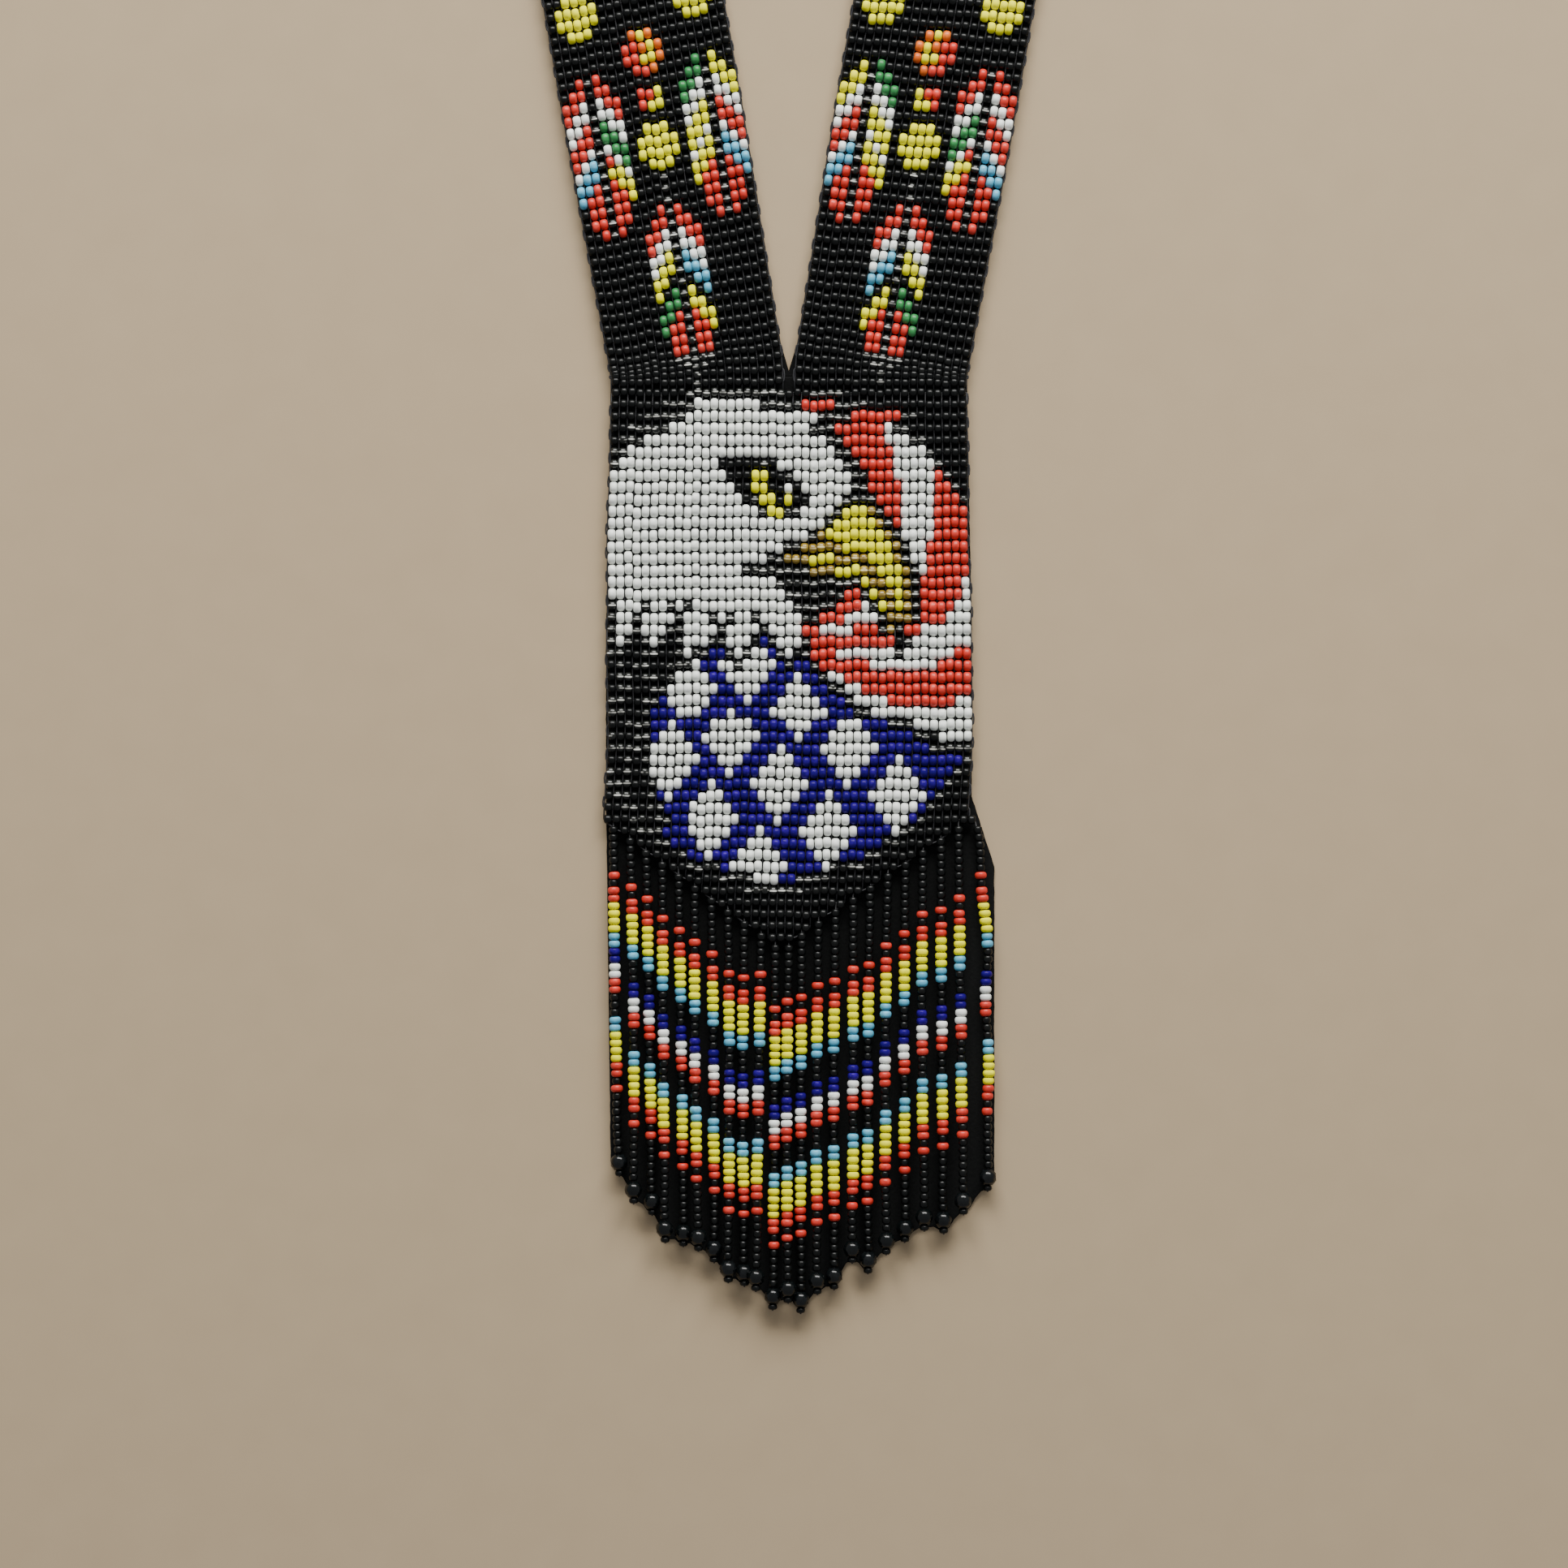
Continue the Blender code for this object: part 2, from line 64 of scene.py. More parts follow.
# Beads of each colour come from their own batch, so they differ in thickness
BEAD_RADIUS = {
    "k": 0.82 * MM, "s": 0.84 * MM, "d": 0.86 * MM, "w": 1.04 * MM, "r": 1.04 * MM,
    "y": 1.05 * MM, "b": 0.99 * MM, "a": 1.02 * MM, "g": 1.01 * MM, "o": 1.03 * MM,
}
WOVEN_LENGTH = 1.43 * MM  # a bead's own length in the cloth
STRUNG_LENGTH = 1.34 * MM  # and on a strand
HOLE = 0.36  # a bead's hole as a share of its radius
BEAD_SIDES = 12

# How much beads differ. A held spread is (spread, least, most).
TILT_SPREAD = (0.02, 0.03, 0.03)
LENGTH_SPREAD = (0.035, -0.08, 0.045)
RADIUS_SPREAD = (0.025, -0.07, 0.035)
PLACE_SPREAD = 0.03 * MM
PANEL_ROW_SPREAD = 0.035 * MM
STRUNG_SPREAD = (0.03 * MM, 0.02 * MM)  # sideways and in height
PANEL_STEPS = (0.16 * MM, 0.03 * MM)  # a column stands off its row: at first, and its change
STRAP_STEPS = (0.14 * MM, 0.025 * MM)
STEP_MEMORY = 0.97  # how much of that the next row keeps
PANEL_WAVES = ((0.16 * MM, 60 * MM, 0.6), (0.10 * MM, 23 * MM, 2.0))

WARP_RADIUS = 0.12 * MM
WEFT_RADIUS = 0.14 * MM
STRAND_THREAD = 0.15 * MM
TUBE_SIDES = 6  # tube() closes each end with two quads
WARP_SPREAD = 0.02 * MM
EDGE_LOOP = 0.3 * MM  # how far the weft loops past a row's end bead
LOOP_LEAD = 0.2  # where the loop's shoulders are, along it
LOOP_RISE = 0.7  # and how far out, as a share of the loop

COLUMNS = 43
FOLD_ROW = 20  # the panel folds forward along this row
LAST_FULL_ROW = 36
STEP_ROWS = 10  # each of these rows loses two beads at each end
STEP_BEADS = 2
TOP_TAPER = 0.8 * MM  # each side of the panel draws in by this at the V
LOWER_DRIFT = 1.3 * MM  # the last rows sit this far to the left
DRIFT_ROW = 30  # and begin to drift here

STRAP_COLUMNS = 21
STRAP_ROWS = 144
FRONT_ROWS = 72  # the loop folds along the last of these rows
CROWDED_ROWS = 6  # a strap's first rows sit closer
CROWDING = 3.0 * MM  # and take this much less length
STRAP_TAPER = 0.55 * MM  # each edge of a strap draws in by this at the V
TAPER_LENGTH = 55 * MM
LEAN = math.radians(9.8)  # how far the straps lean outwards
LEAN_IN = 6 * MM  # they reach that lean over this length
LEAN_HOLD = 72 * MM  # they hold it up to here
LEAN_OUT = 130 * MM  # and are parallel from here
TWIST_LENGTH = 70 * MM
SEAM_SIDE = 0.6 * MM  # where each strap ends beside the nape seam
PATH_STEP = 0.5 * MM
STRAP_SHEAR = {-1: 0.045, 1: -0.085}  # how far each strap's rows are off square
SHEAR_ROWS = (4, 14, 40, 60)  # it grows over the first two and fades over the last two

SEAM_REACH = 1.25 * MM  # the nape's whip stitches, from the seam's middle
SEAM_THICK = 1.22 * MM
SEAM_STITCHES = 22
SEAM_STEPS = 12  # points on each stitch
SEAM_SQUARENESS = 0.6  # 1 would be an ellipse
SEAM_THREAD = 0.16 * MM

FIRST_BEAD = 1.15 * MM  # from a row's axis to its strand's first bead
END_GAP = 0.3 * MM
END_BEAD_LENGTH = 2.5 * MM  # the end beads' size in the CAD
CAD_END_RADIUS = 1.3 * MM
CUT_BEAD_LENGTH = 2.75 * MM  # and with their facets
CUT_BEAD_RADIUS = 1.56 * MM
CUT_SIDES = 8
STOP_LENGTH = 1.05 * MM  # the last bead, which holds the end bead on
STOP_TUCK = 0.3 * MM  # and how far up into the end bead's hole it sits
ALTERNATE_LIFT = 1.2 * MM  # every other end bead rides up between its neighbours
STRAND_SPREAD = (-0.3 * MM, 2.96 * MM, 0.0219 * MM)  # strand ends: offset, spacing, fan
STRAND_BUNCH = 1.25 * MM  # and how far they crowd towards the middle
STRAND_SWAY = (0.10 * MM, 0.34 * MM)  # least and most
STRAND_TURNS = (0.5, 1.5)  # how many half waves it makes
STRAND_RIPPLE = (0.04 * MM, 0.12 * MM)
RIPPLE_TURNS = 7
EDGE_BOW = 1.5 * MM  # the last strand bows outwards
BOW_START = 0.6  # below 1, it does so soon
BOW_WAVE = 0.2  # share of the bow that comes and goes
BOW_TURNS = 6
THREAD_POINTS = 24

FELT = 0.5 * MM
FELT_MARGIN = 0.2 * MM  # how far the felt shows past the beads
FELT_PAST_BEADS = 2.3 * MM  # and past the middle of an end bead
FELT_PAST_SIDES = 1.4 * MM  # and past the outer strands
FELT_CORNER_ROW = 34  # the felt leaves the panel's sides here
FELT_SHOULDER_ROW = 40  # and is as wide as the fringe from here, on the right
WEB_TOP = 2.9 * MM  # the felt fills the V up to here
WEB_SIDE = 5 * MM  # and follows the straps' inner edges from here
BEND = 3 * MM  # felt this near a fold is a strip of its own
FELT_STEP = 0.9 * MM  # between the points of its cut edge
FELT_RAG = 0.03 * MM
FELT_ROUND = 0.12 * MM  # of its edges
FELT_SHARP = math.radians(50)  # an edge sharper than this isn't smoothed
SCALLOP = 0.6 * MM  # how deep the felt dips between two strands' ends
SCALLOP_POINTS = 4
STRIP_STEPS, STRIP_COLUMNS = 14, 24  # of the felt strip at a fold
REAR_STEP = 1.5 * MM
REAR_COLUMNS = 13

MOST_BEADS = 800  # in one piece

JOINTS = {joint["name"]: joint for joint in frame["record"]["behaviour"]["joints"]}
AXIS_Z = JOINTS["neck_fold"]["pos_m"][2]
V_LINE = JOINTS["neck_fold"]["pos_m"][1] + ROW_PITCH / 2
STRANDS = sum(name.startswith("strand_") for name in JOINTS)

PANEL_HALF = COLUMNS * BEAD_LENGTH / 2
STRAP_HALF = STRAP_COLUMNS * BEAD_LENGTH / 2
TOP_HALF = PANEL_HALF - TOP_TAPER
STRAP_FELT_HALF = STRAP_HALF + FELT_MARGIN
STRAP_CENTRE = TOP_HALF - (STRAP_HALF - STRAP_TAPER)
STRAP_LENGTH = STRAP_ROWS * ROW_PITCH - CROWDING
RIGHT = np.array([1.0, 0.0, 0.0])
UP = np.array([0.0, 0.0, 1.0])

# ------------------------ bead charts
# One letter is one colour: k black, s smoky with a silvered hole, d gold with a silvered
# hole, w white, r red, y yellow, b cobalt, a light blue, g green, o orange.
# A run is a letter and how many of it, unless that's 1. A line is a row from left to right.

PANEL_CHART = """
9k 12s 3k 4s 15k
6k 4s 8w 5s 4r 4s 12k
4k 5s 16w 4s 6r 2s 6k
2k 5s 17w 3s 6r w 2s 7k
k 3s 22w 2s 5r 3w 2s 5k
2s 25w 2s 5r 4w s 4k
s 12w 5k s k 8w 2s 4r 5w s 3k
14w 3k 2y 2k s 7w 2s 3r 5w r s 2k
15w 2k 2y 2k w k 6w 2s 4r 4w 2r s k
16w k s 2y k y 2k 4w 4s 3r 4w 3r s
18w s 2y 2s 4w s 3y d s 2r 4w 4r
26w s 5y d s r 4w 4r
24w s d 7y d s 4w 4r
21w 2s 5d 6y d s 2w 5r
19w 2s 3d 3y 4d 3y d s 2w 5r
16w 8s 3d 3y 2d 3y d s w 5r
20w 10s y 2d 2y d s 5r w
21w 7s 2r s y 2d y d s 5r w
s 3w s 2w s w s 12w 5s 3r w s y d y d s 4r 2w
s 2w s 4w s 3w s w s 2w s 5w 2s 3r 4w s 3d s 3r 3w
s 2w s 3w 2s 4w s 4w s 4w 2r 4w 3r s d s 2r 6w
s w s k s w s k s 3w 2s 3w k b s 3w s 10r k s 7w
2s 2k 2s 2k s w 2s 2b s w s 2w b s w k s 3r 7w s 6w 2r
k s k 2s 2k 3s w 2b 2w s 4w b s 2b s 6r 8w 4r
k 2s k 2s k s 4w 2b 5w 3b w 2b s 2w 15r
k 2s 2k 2s 6w 2b 3w 3b 3w 2b 2s 2w 13r
2s 2k 2s b 5w 4b w 3b 5w 3b s 4w 8r 2w
2s 2k s 3b 3w 3b w 4b 7w 3b 2s 12w
2k 3s 2b w 4b 5w 4b 3w 3b 3w 3b 3s 7w
s 2k 2s b 3w 2b 7w 4b w 3b 5w 5b 2s k 4w
5s 5w 2b 5w 3b w 4b 7w 6b 5s
2k s k s 6w 2b 3w 3b 3w 4b 5w 3b w 7b s
s k s k s 5w 4b w 3b 5w 4b 3w 3b 3w 5b s k
3s 2k s 3w 3b w 4b 7w 4b w 3b 5w 3b s 2k
k 2s 2k s b w 3b 3w 4b 5w 3b w 4b 7w b s 3k
2k 2s k 2s 3b 5w 4b 3w 3b 3w 4b 5w b s 4k
3k 2s k 2s 2b 6w 4b w 3b 5w 4b 3w b s 6k
2k 3s 3b 5w 3b w 4b 7w 4b w 2s 4k
2k 2s 3b 3w 3b 3w 4b 5w 4b 2s 4k
3k s 2b w 3b 5w 4b 3w 3b 2s 4k
2k 4s b 7w 4b w s k 2s 4k
4k 4s 3w 2b 4s 6k
5k 7s 7k
15k
11k
7k
3k
"""

# The strap's motifs, going up from the V: first row, centre column from the outer edge,
# and the rows. A dot leaves the black ground.
STRAP_REPEAT = 36
STRAP_MOTIFS = (
    (1, 11, "s s sss sssss rrsrr rrsrr grrsrry ggrsryy ggsyy y.gsy.a yy.s.aa wyysaaw wwysaww "
            "rwwswwr rrwswrr rrsrr rsr s s s"),
    (16, 4, "rsr rrsrr rrsrr arrsrry aarsryy waasyyw rwasrwg rrwswgg wrrsggw wwrsgww rwwswwr "
            "rrw.wrr rr.rr rsr"),
    (16, 18, "rsr rrsrr rrsrr yrrsrra yyrsraa wyysaaw ywysawr yyw.wrr wyysrrw wwysrww gwwswwy "
             "ggwswyy ggsyy g.y"),
    (21, 11, "yyy yyyyy yyyyy yyy"),
    (26, 11, "ryy rry"),
    (29, 11, "rro rryyo rroyo oyo"),
    (33, 4, "yyy yyyyy yyyyy yyy"),
    (33, 18, "yyy yyyyy yyyyy yyy"),
)

STRAND_PATTERN = "r k rr yyyy aa kkk bb ww rr kkk aa yyyy rr k r".replace(" ", "")
FIRST_STRAND_PATTERN = "r k rr yyyy aa bb ww rr kkk aa yyyy rr k r".replace(" ", "")
TOP_BLACKS = (6, 6, 6, 7, 7, 7, 7, 8, 7, 5, 8, 7, 8, 8, 9, 9, 10, 9, 9, 8, 9, 9, 6)
TAIL_BLACKS = (8, 7, 7, 8, 7, 6, 6, 6, 6, 7, 5, 5, 7, 6, 6, 4, 6, 6, 6, 7, 8, 7, 7)

SLOTS = {
    "k": "bead_black",
    "s": "bead_smoky",
    "d": "bead_gold",
    "w": "bead_white",
    "r": "bead_red",
    "y": "bead_yellow",
    "b": "bead_cobalt",
    "a": "bead_light_blue",
    "g": "bead_green",
    "o": "bead_orange",
}


def read_runs(line):
    """The letters of one chart row, such as kkw from "2k w"."""
    return "".join(run[-1] * int(run[:-1] or 1) for run in line.split())


def panel_chart():
    rows = [read_runs(line) for line in PANEL_CHART.strip().splitlines()]
    for number, row in enumerate(rows):
        lost = STEP_BEADS * max(0, number - LAST_FULL_ROW)
        expected = COLUMNS - 2 * lost + (number == LAST_FULL_ROW)
        assert len(row) == expected, (number, len(row), expected)
    return rows


def strap_chart():
    """The strap's repeat, one string of letters for each row."""
    grid = [["k"] * STRAP_COLUMNS for _ in range(STRAP_REPEAT)]
    for first, centre, motif in STRAP_MOTIFS:
        for step, letters in enumerate(motif.split()):
            start = centre - 1 - len(letters) // 2
            for offset, letter in enumerate(letters):
                if letter != ".":
                    grid[first - 1 + step][start + offset] = letter
    return grid


# ------------------------ places

def smooth(t):
    """Ease from 0 to 1."""
    t = min(max(t, 0.0), 1.0)
    return t * t * (3 - 2 * t)


def row_y(row):
    """The axis of a panel row."""
    return V_LINE - (row + 0.5) * ROW_PITCH


def drift(row):
    """Sideways drift of the panel's last rows."""
    last_row = LAST_FULL_ROW + STEP_ROWS
    return -LOWER_DRIFT * smooth((row - DRIFT_ROW) / (last_row - DRIFT_ROW))


def panel_half(row):
    """Half the panel's width at a row."""
    return TOP_HALF + TOP_TAPER * min(max(row, 0) / FOLD_ROW, 1.0)


def lean(s):
    """Heading away from +Y, positive outwards, at distance s along the flat strap."""
    if s < LEAN_HOLD:
        return LEAN * smooth(s / LEAN_IN)
    return LEAN * (1 - smooth((s - LEAN_HOLD) / (LEAN_OUT - LEAN_HOLD)))


def nape_radius():
    """Half the distance between the parallel straps' centre lines."""
    steps = round(LEAN_OUT / PATH_STEP)
    outwards = sum(math.sin(lean((i + 0.5) * PATH_STEP)) for i in range(steps))
    return STRAP_CENTRE + outwards * PATH_STEP


NAPE_RADIUS = nape_radius()
TWIST_END = STRAP_LENGTH + SEAM_SIDE - NAPE_RADIUS * math.pi / 2
TWIST_START = TWIST_END - TWIST_LENGTH


def heading(s):
    """The strap's heading all the way round to the nape."""
    if s < TWIST_END:
        return lean(s)
    return -(s - TWIST_END) / NAPE_RADIUS


def roll(s):
    """The strap's twist: 0 lies face up, a quarter turn faces outwards."""
    return smooth((s - TWIST_START) / TWIST_LENGTH) * math.pi / 2


def centre_height(s):
    """Height of the strap's centre line, with its outer edge on the table."""
    return AXIS_Z * math.cos(roll(s)) + STRAP_FELT_HALF * math.sin(roll(s))


def build_path():
    """Centre points of the left strap, one for each PATH_STEP, as the CAD has them."""
    steps = math.ceil((STRAP_LENGTH + SEAM_SIDE) / PATH_STEP) + 1
    x, y = -STRAP_CENTRE, V_LINE
    points = [(x, y, centre_height(0))]
    for i in range(steps):
        s = (i + 0.5) * PATH_STEP
        rise = centre_height((i + 1) * PATH_STEP) - centre_height(i * PATH_STEP)
        run = math.sqrt(PATH_STEP ** 2 - rise ** 2)
        x -= run * math.sin(heading(s))
        y += run * math.cos(heading(s))
        points.append((x, y, centre_height((i + 1) * PATH_STEP)))
    return np.array(points)


PATH = build_path()


def strap_frame(s):
    """Left strap: centre, direction to the inner edge, and bead-face normal at distance s."""
    place = s / PATH_STEP
    i = min(max(int(place), 0), len(PATH) - 2)
    centre = PATH[i] + (PATH[i + 1] - PATH[i]) * (place - i)
    along = PATH[i + 1] - PATH[i]
    along = along / np.linalg.norm(along)
    flat_inner = np.array([math.cos(heading(s)), math.sin(heading(s)), 0.0])
    flat_face = np.cross(flat_inner, along)
    inner = flat_inner * math.cos(roll(s)) + flat_face * math.sin(roll(s))
    face = flat_face * math.cos(roll(s)) - flat_inner * math.sin(roll(s))
    return centre, inner, face


def side_frame(s, side):
    """The same on either strap: side is -1 for the left one and 1 for the right one."""
    centre, inner, face = strap_frame(s)
    mirror = np.array([-side, 1.0, 1.0])
    return centre * mirror, inner * mirror, face * mirror


def strap_row_s(row):
    """Distance of a strap row's axis from the V line, rows counted from 1."""
    return (row - 0.5) * ROW_PITCH - CROWDING * smooth(row / CROWDED_ROWS)


def strap_taper(s):
    """How far a strap's edges are drawn in at distance s."""
    return STRAP_TAPER * (1 - smooth(s / TAPER_LENGTH))


REAR_FOLD_S = strap_row_s(FRONT_ROWS)
FOLD_Y = {
    "panel": row_y(FOLD_ROW),
    "neck": row_y(0),
    "rear": strap_frame(REAR_FOLD_S)[0][1],
}


def strand_places(index):
    """Distances along a strand: last seed bead, end bead's middle, stop bead, tip."""
    beads_end = FIRST_BEAD + len(strand_letters(index)) * STRAND_BEAD
    end_bead = beads_end + END_GAP + END_BEAD_LENGTH / 2
    stop_bead = beads_end + 2 * END_GAP + END_BEAD_LENGTH
    return beads_end, end_bead, stop_bead, stop_bead + STRAND_BEAD


def strand_letters(index):
    """A strand's beads from the top, strands counted from 0 at the left."""
    pattern = STRAND_PATTERN if index else FIRST_STRAND_PATTERN
    return "k" * TOP_BLACKS[index] + pattern + "k" * TAIL_BLACKS[index]


def strand_line(index):
    """A strand's hinge point and direction, as the CAD has them."""
    hinge = np.array(JOINTS[f"strand_{index + 1:02d}_swing"]["pos_m"])
    end_bead = strand_places(index)[1]
    lift = FELT + END_GAP + CAD_END_RADIUS - AXIS_Z + ALTERNATE_LIFT * (index % 2)
    offset, spacing, fan = STRAND_SPREAD
    n = index - STRANDS // 2
    bunch = STRAND_BUNCH * math.sin(2 * math.pi * n / STRANDS)
    sideways = offset + spacing * n + fan * n * n - bunch - hinge[0]
    down = math.sqrt(end_bead ** 2 - lift ** 2 - sideways ** 2)
    return hinge, np.array([sideways, -down, lift]) / end_bead


# ------------------------ materials
# Scales of the fine patterns, for each metre
CLOUD_SCALE = 1500.0
BREAK_SCALE = 700.0
SMEAR_SCALE = 2600.0
DENT_SCALE = 900.0
FIBRE_SCALE = 9000.0
MAT_SCALE = 1800.0
FLOOR_SCALE = 120.0

CLOUD_SHADE = 0.88  # a cloudy spot against the bead's darkest shade
# A painted reflection: a bright line painted into the colour of beads with a silvered hole, standing
# in for the light that the hole reflects. Its edges, its breaks and its dullest share follow.
PAINTED_REFLECTION_EDGES = (0.52, 0.85)
PAINTED_REFLECTION_BREAKS = (0.34, 0.54)
DULLEST_PAINTED_REFLECTION = 0.3
DENT_DEPTH, FIBRE_DEPTH, MAT_DEPTH = 0.05 * MM, 0.03 * MM, 0.12 * MM


def new_material(name):
    """A material with its node tree's nodes, links and Principled shader."""
    material = bpy.data.materials.new(name)
    material.use_nodes = True
    nodes, links = material.node_tree.nodes, material.node_tree.links
    return material, nodes, links, nodes["Principled BSDF"]


def mix_colour(nodes, links, factor, low, high):
    """A colour that runs from low to high with factor. low or high may be a socket."""
    mix = nodes.new("ShaderNodeMix")
    mix.data_type = "RGBA"
    links.new(factor, mix.inputs["Factor"])
    for socket, value in ((mix.inputs["A"], low), (mix.inputs["B"], high)):
        if isinstance(value, bpy.types.NodeSocket):
            links.new(value, socket)
        else:
            socket.default_value = (*value, 1.0)
    return mix.outputs["Result"]


def noise(nodes, links, scale, detail=2.0):
    """Noise fixed to the object, from about 0 to 1."""
    place = nodes.new("ShaderNodeTexCoord")
    texture = nodes.new("ShaderNodeTexNoise")
    texture.inputs["Scale"].default_value = scale
    texture.inputs["Detail"].default_value = detail
    links.new(place.outputs["Object"], texture.inputs["Vector"])
    return texture.outputs["Fac"]


def ramp(nodes, links, factor, low, high):
    """factor, spread so that low gives 0 and high gives 1."""
    node = nodes.new("ShaderNodeMapRange")
    links.new(factor, node.inputs["Value"])
    node.inputs["From Min"].default_value = low
    node.inputs["From Max"].default_value = high
    return node.outputs["Result"]


def attribute(nodes, name):
    """A value that set_attribute gave each point."""
    node = nodes.new("ShaderNodeAttribute")
    node.attribute_name = name
    return node.outputs["Fac"]


def bump(nodes, links, shader, height, strength, distance):
    """Small dents and ridges that follow height."""
    node = nodes.new("ShaderNodeBump")
    node.inputs["Strength"].default_value = strength
    node.inputs["Distance"].default_value = distance
    links.new(height, node.inputs["Height"])
    links.new(node.outputs["Normal"], shader.inputs["Normal"])


def glass_bead(name, dark, light, low_rough, high_rough, painted_reflection=None, gloss=0.3,
               highlight=(1.0, 1.0, 1.0)):
    """Glass whose colour differs a little from bead to bead and within a bead.

    The attribute tint is each bead's own shade. A second attribute runs to 1 along the
    bead's middle, where a bright line is painted into the colour: a painted reflection of
    the light that comes back out of a silvered hole.
    """
    material, nodes, links, shader = new_material(name)
    tint = attribute(nodes, "tint")
    body = mix_colour(nodes, links, tint, dark, light)
    cloudy = ramp(nodes, links, noise(nodes, links, CLOUD_SCALE), 0.3, 0.7)
    shaded = mix_colour(nodes, links, cloudy, tuple(c * CLOUD_SHADE for c in dark), body)
    # Painted reflection: a bright line mixed into the base colour along the bead's upper side,
    # standing in for light reflected by the silvered hole
    if painted_reflection:
        line = ramp(nodes, links, attribute(nodes, "painted_reflection"), *PAINTED_REFLECTION_EDGES)
        broken_painted_reflection = ramp(nodes, links, noise(nodes, links, BREAK_SCALE, 1.0), *PAINTED_REFLECTION_BREAKS)
        uneven_painted_reflection = multiply(nodes, links, broken_painted_reflection, tint, DULLEST_PAINTED_REFLECTION)
        strength = multiply(nodes, links, line, uneven_painted_reflection, 0.0)
        shaded = mix_colour(nodes, links, strength, shaded, painted_reflection)
    links.new(shaded, shader.inputs["Base Color"])
    rough = nodes.new("ShaderNodeMapRange")
    links.new(noise(nodes, links, SMEAR_SCALE, 3.0), rough.inputs["Value"])
    rough.inputs["To Min"].default_value = low_rough
    rough.inputs["To Max"].default_value = high_rough
    links.new(rough.outputs["Result"], shader.inputs["Roughness"])
    shader.inputs["Specular IOR Level"].default_value = gloss
    shader.inputs["Specular Tint"].default_value = (*highlight, 1.0)
    bump(nodes, links, shader, noise(nodes, links, DENT_SCALE), 0.2, DENT_DEPTH)
    return material


def multiply(nodes, links, first, second, floor):
    """first times second, with second raised to at least floor."""
    raised = nodes.new("ShaderNodeMapRange")
    links.new(second, raised.inputs["Value"])
    raised.inputs["To Min"].default_value = floor
    node = nodes.new("ShaderNodeMath")
    node.operation = "MULTIPLY"
    links.new(first, node.inputs[0])
    links.new(raised.outputs["Result"], node.inputs[1])
    return node.outputs[0]


def thread_material():
    """Waxed black nylon, with fine ridges."""
    material, nodes, links, shader = new_material("black_thread")
    fibres = noise(nodes, links, FIBRE_SCALE, 4.0)
    colour = mix_colour(nodes, links, fibres, (0.004, 0.004, 0.005), (0.022, 0.022, 0.026))
    links.new(colour, shader.inputs["Base Color"])
    shader.inputs["Roughness"].default_value = 0.6
    bump(nodes, links, shader, fibres, 0.4, FIBRE_DEPTH)
    return material


def felt_material():
    """Black felt of matted fibres."""
    material, nodes, links, shader = new_material("black_felt")
    mats = noise(nodes, links, MAT_SCALE, 6.0)
    colour = mix_colour(nodes, links, mats, (0.0015, 0.0016, 0.0016), (0.007, 0.0075, 0.0072))
    links.new(colour, shader.inputs["Base Color"])
    shader.inputs["Roughness"].default_value = 0.95
    shader.inputs["Specular IOR Level"].default_value = 0.15
    bump(nodes, links, shader, mats, 0.7, MAT_DEPTH)
    return material


# For the smoky and gold beads, the colour after the roughness range is a painted reflection: a bright
# line painted along each bead's middle
BEAD_MATERIALS = {
    "k": glass_bead("black_glass", (0.002, 0.0025, 0.0025), (0.006, 0.0065, 0.006), 0.24, 0.36,
                    gloss=0.2),
    "s": glass_bead("smoky_glass", (0.005, 0.006, 0.005), (0.012, 0.013, 0.011), 0.18, 0.3,
                    painted_reflection=(0.80, 0.80, 0.74), gloss=0.4),
    "d": glass_bead("gold_glass", (0.19, 0.12, 0.012), (0.40, 0.27, 0.040), 0.18, 0.3,
                    painted_reflection=(0.98, 0.88, 0.50), gloss=0.5),
    "w": glass_bead("white_glass", (0.78, 0.805, 0.76), (0.91, 0.935, 0.88), 0.32, 0.45),
    "r": glass_bead("red_glass", (0.54, 0.025, 0.016), (0.72, 0.056, 0.038), 0.28, 0.42),
    "y": glass_bead("yellow_glass", (0.79, 0.755, 0.0), (0.89, 0.875, 0.0), 0.36, 0.5, gloss=0.1,
                    highlight=(1.0, 0.9, 0.1)),
    "b": glass_bead("cobalt_glass", (0.010, 0.0, 0.115), (0.026, 0.0, 0.235), 0.24, 0.36,
                    gloss=0.14, highlight=(0.7, 0.6, 1.0)),
    "a": glass_bead("light_blue_glass", (0.09, 0.36, 0.52), (0.15, 0.48, 0.66), 0.3, 0.44),
    "g": glass_bead("green_glass", (0.022, 0.17, 0.045), (0.045, 0.27, 0.08), 0.28, 0.42),
    "o": glass_bead("orange_glass", (0.60, 0.10, 0.008), (0.76, 0.17, 0.015), 0.28, 0.42),
}
END_GLASS = glass_bead("black_cut_glass", (0.002, 0.003, 0.003), (0.006, 0.007, 0.008), 0.12, 0.22,
                       gloss=0.3)
THREAD = thread_material()
FELT_CLOTH = felt_material()


# ------------------------ meshes

def mesh_piece(name, points, quads, material, smooth_shading=True):
    """An object from arrays of points and quads."""
    mesh = bpy.data.meshes.new(name)
    mesh.vertices.add(len(points))
    mesh.vertices.foreach_set("co", np.asarray(points, np.float32).ravel())
    mesh.loops.add(quads.size)
    mesh.loops.foreach_set("vertex_index", quads.ravel().astype(np.int32))
    mesh.polygons.add(len(quads))
    mesh.polygons.foreach_set("loop_start", np.arange(0, quads.size, quads.shape[1], dtype=np.int32))
    mesh.update(calc_edges=True)
    if smooth_shading:
        mesh.shade_smooth()
    mesh.materials.append(material)
    item = bpy.data.objects.new(name, mesh)
    bpy.context.collection.objects.link(item)
    return item


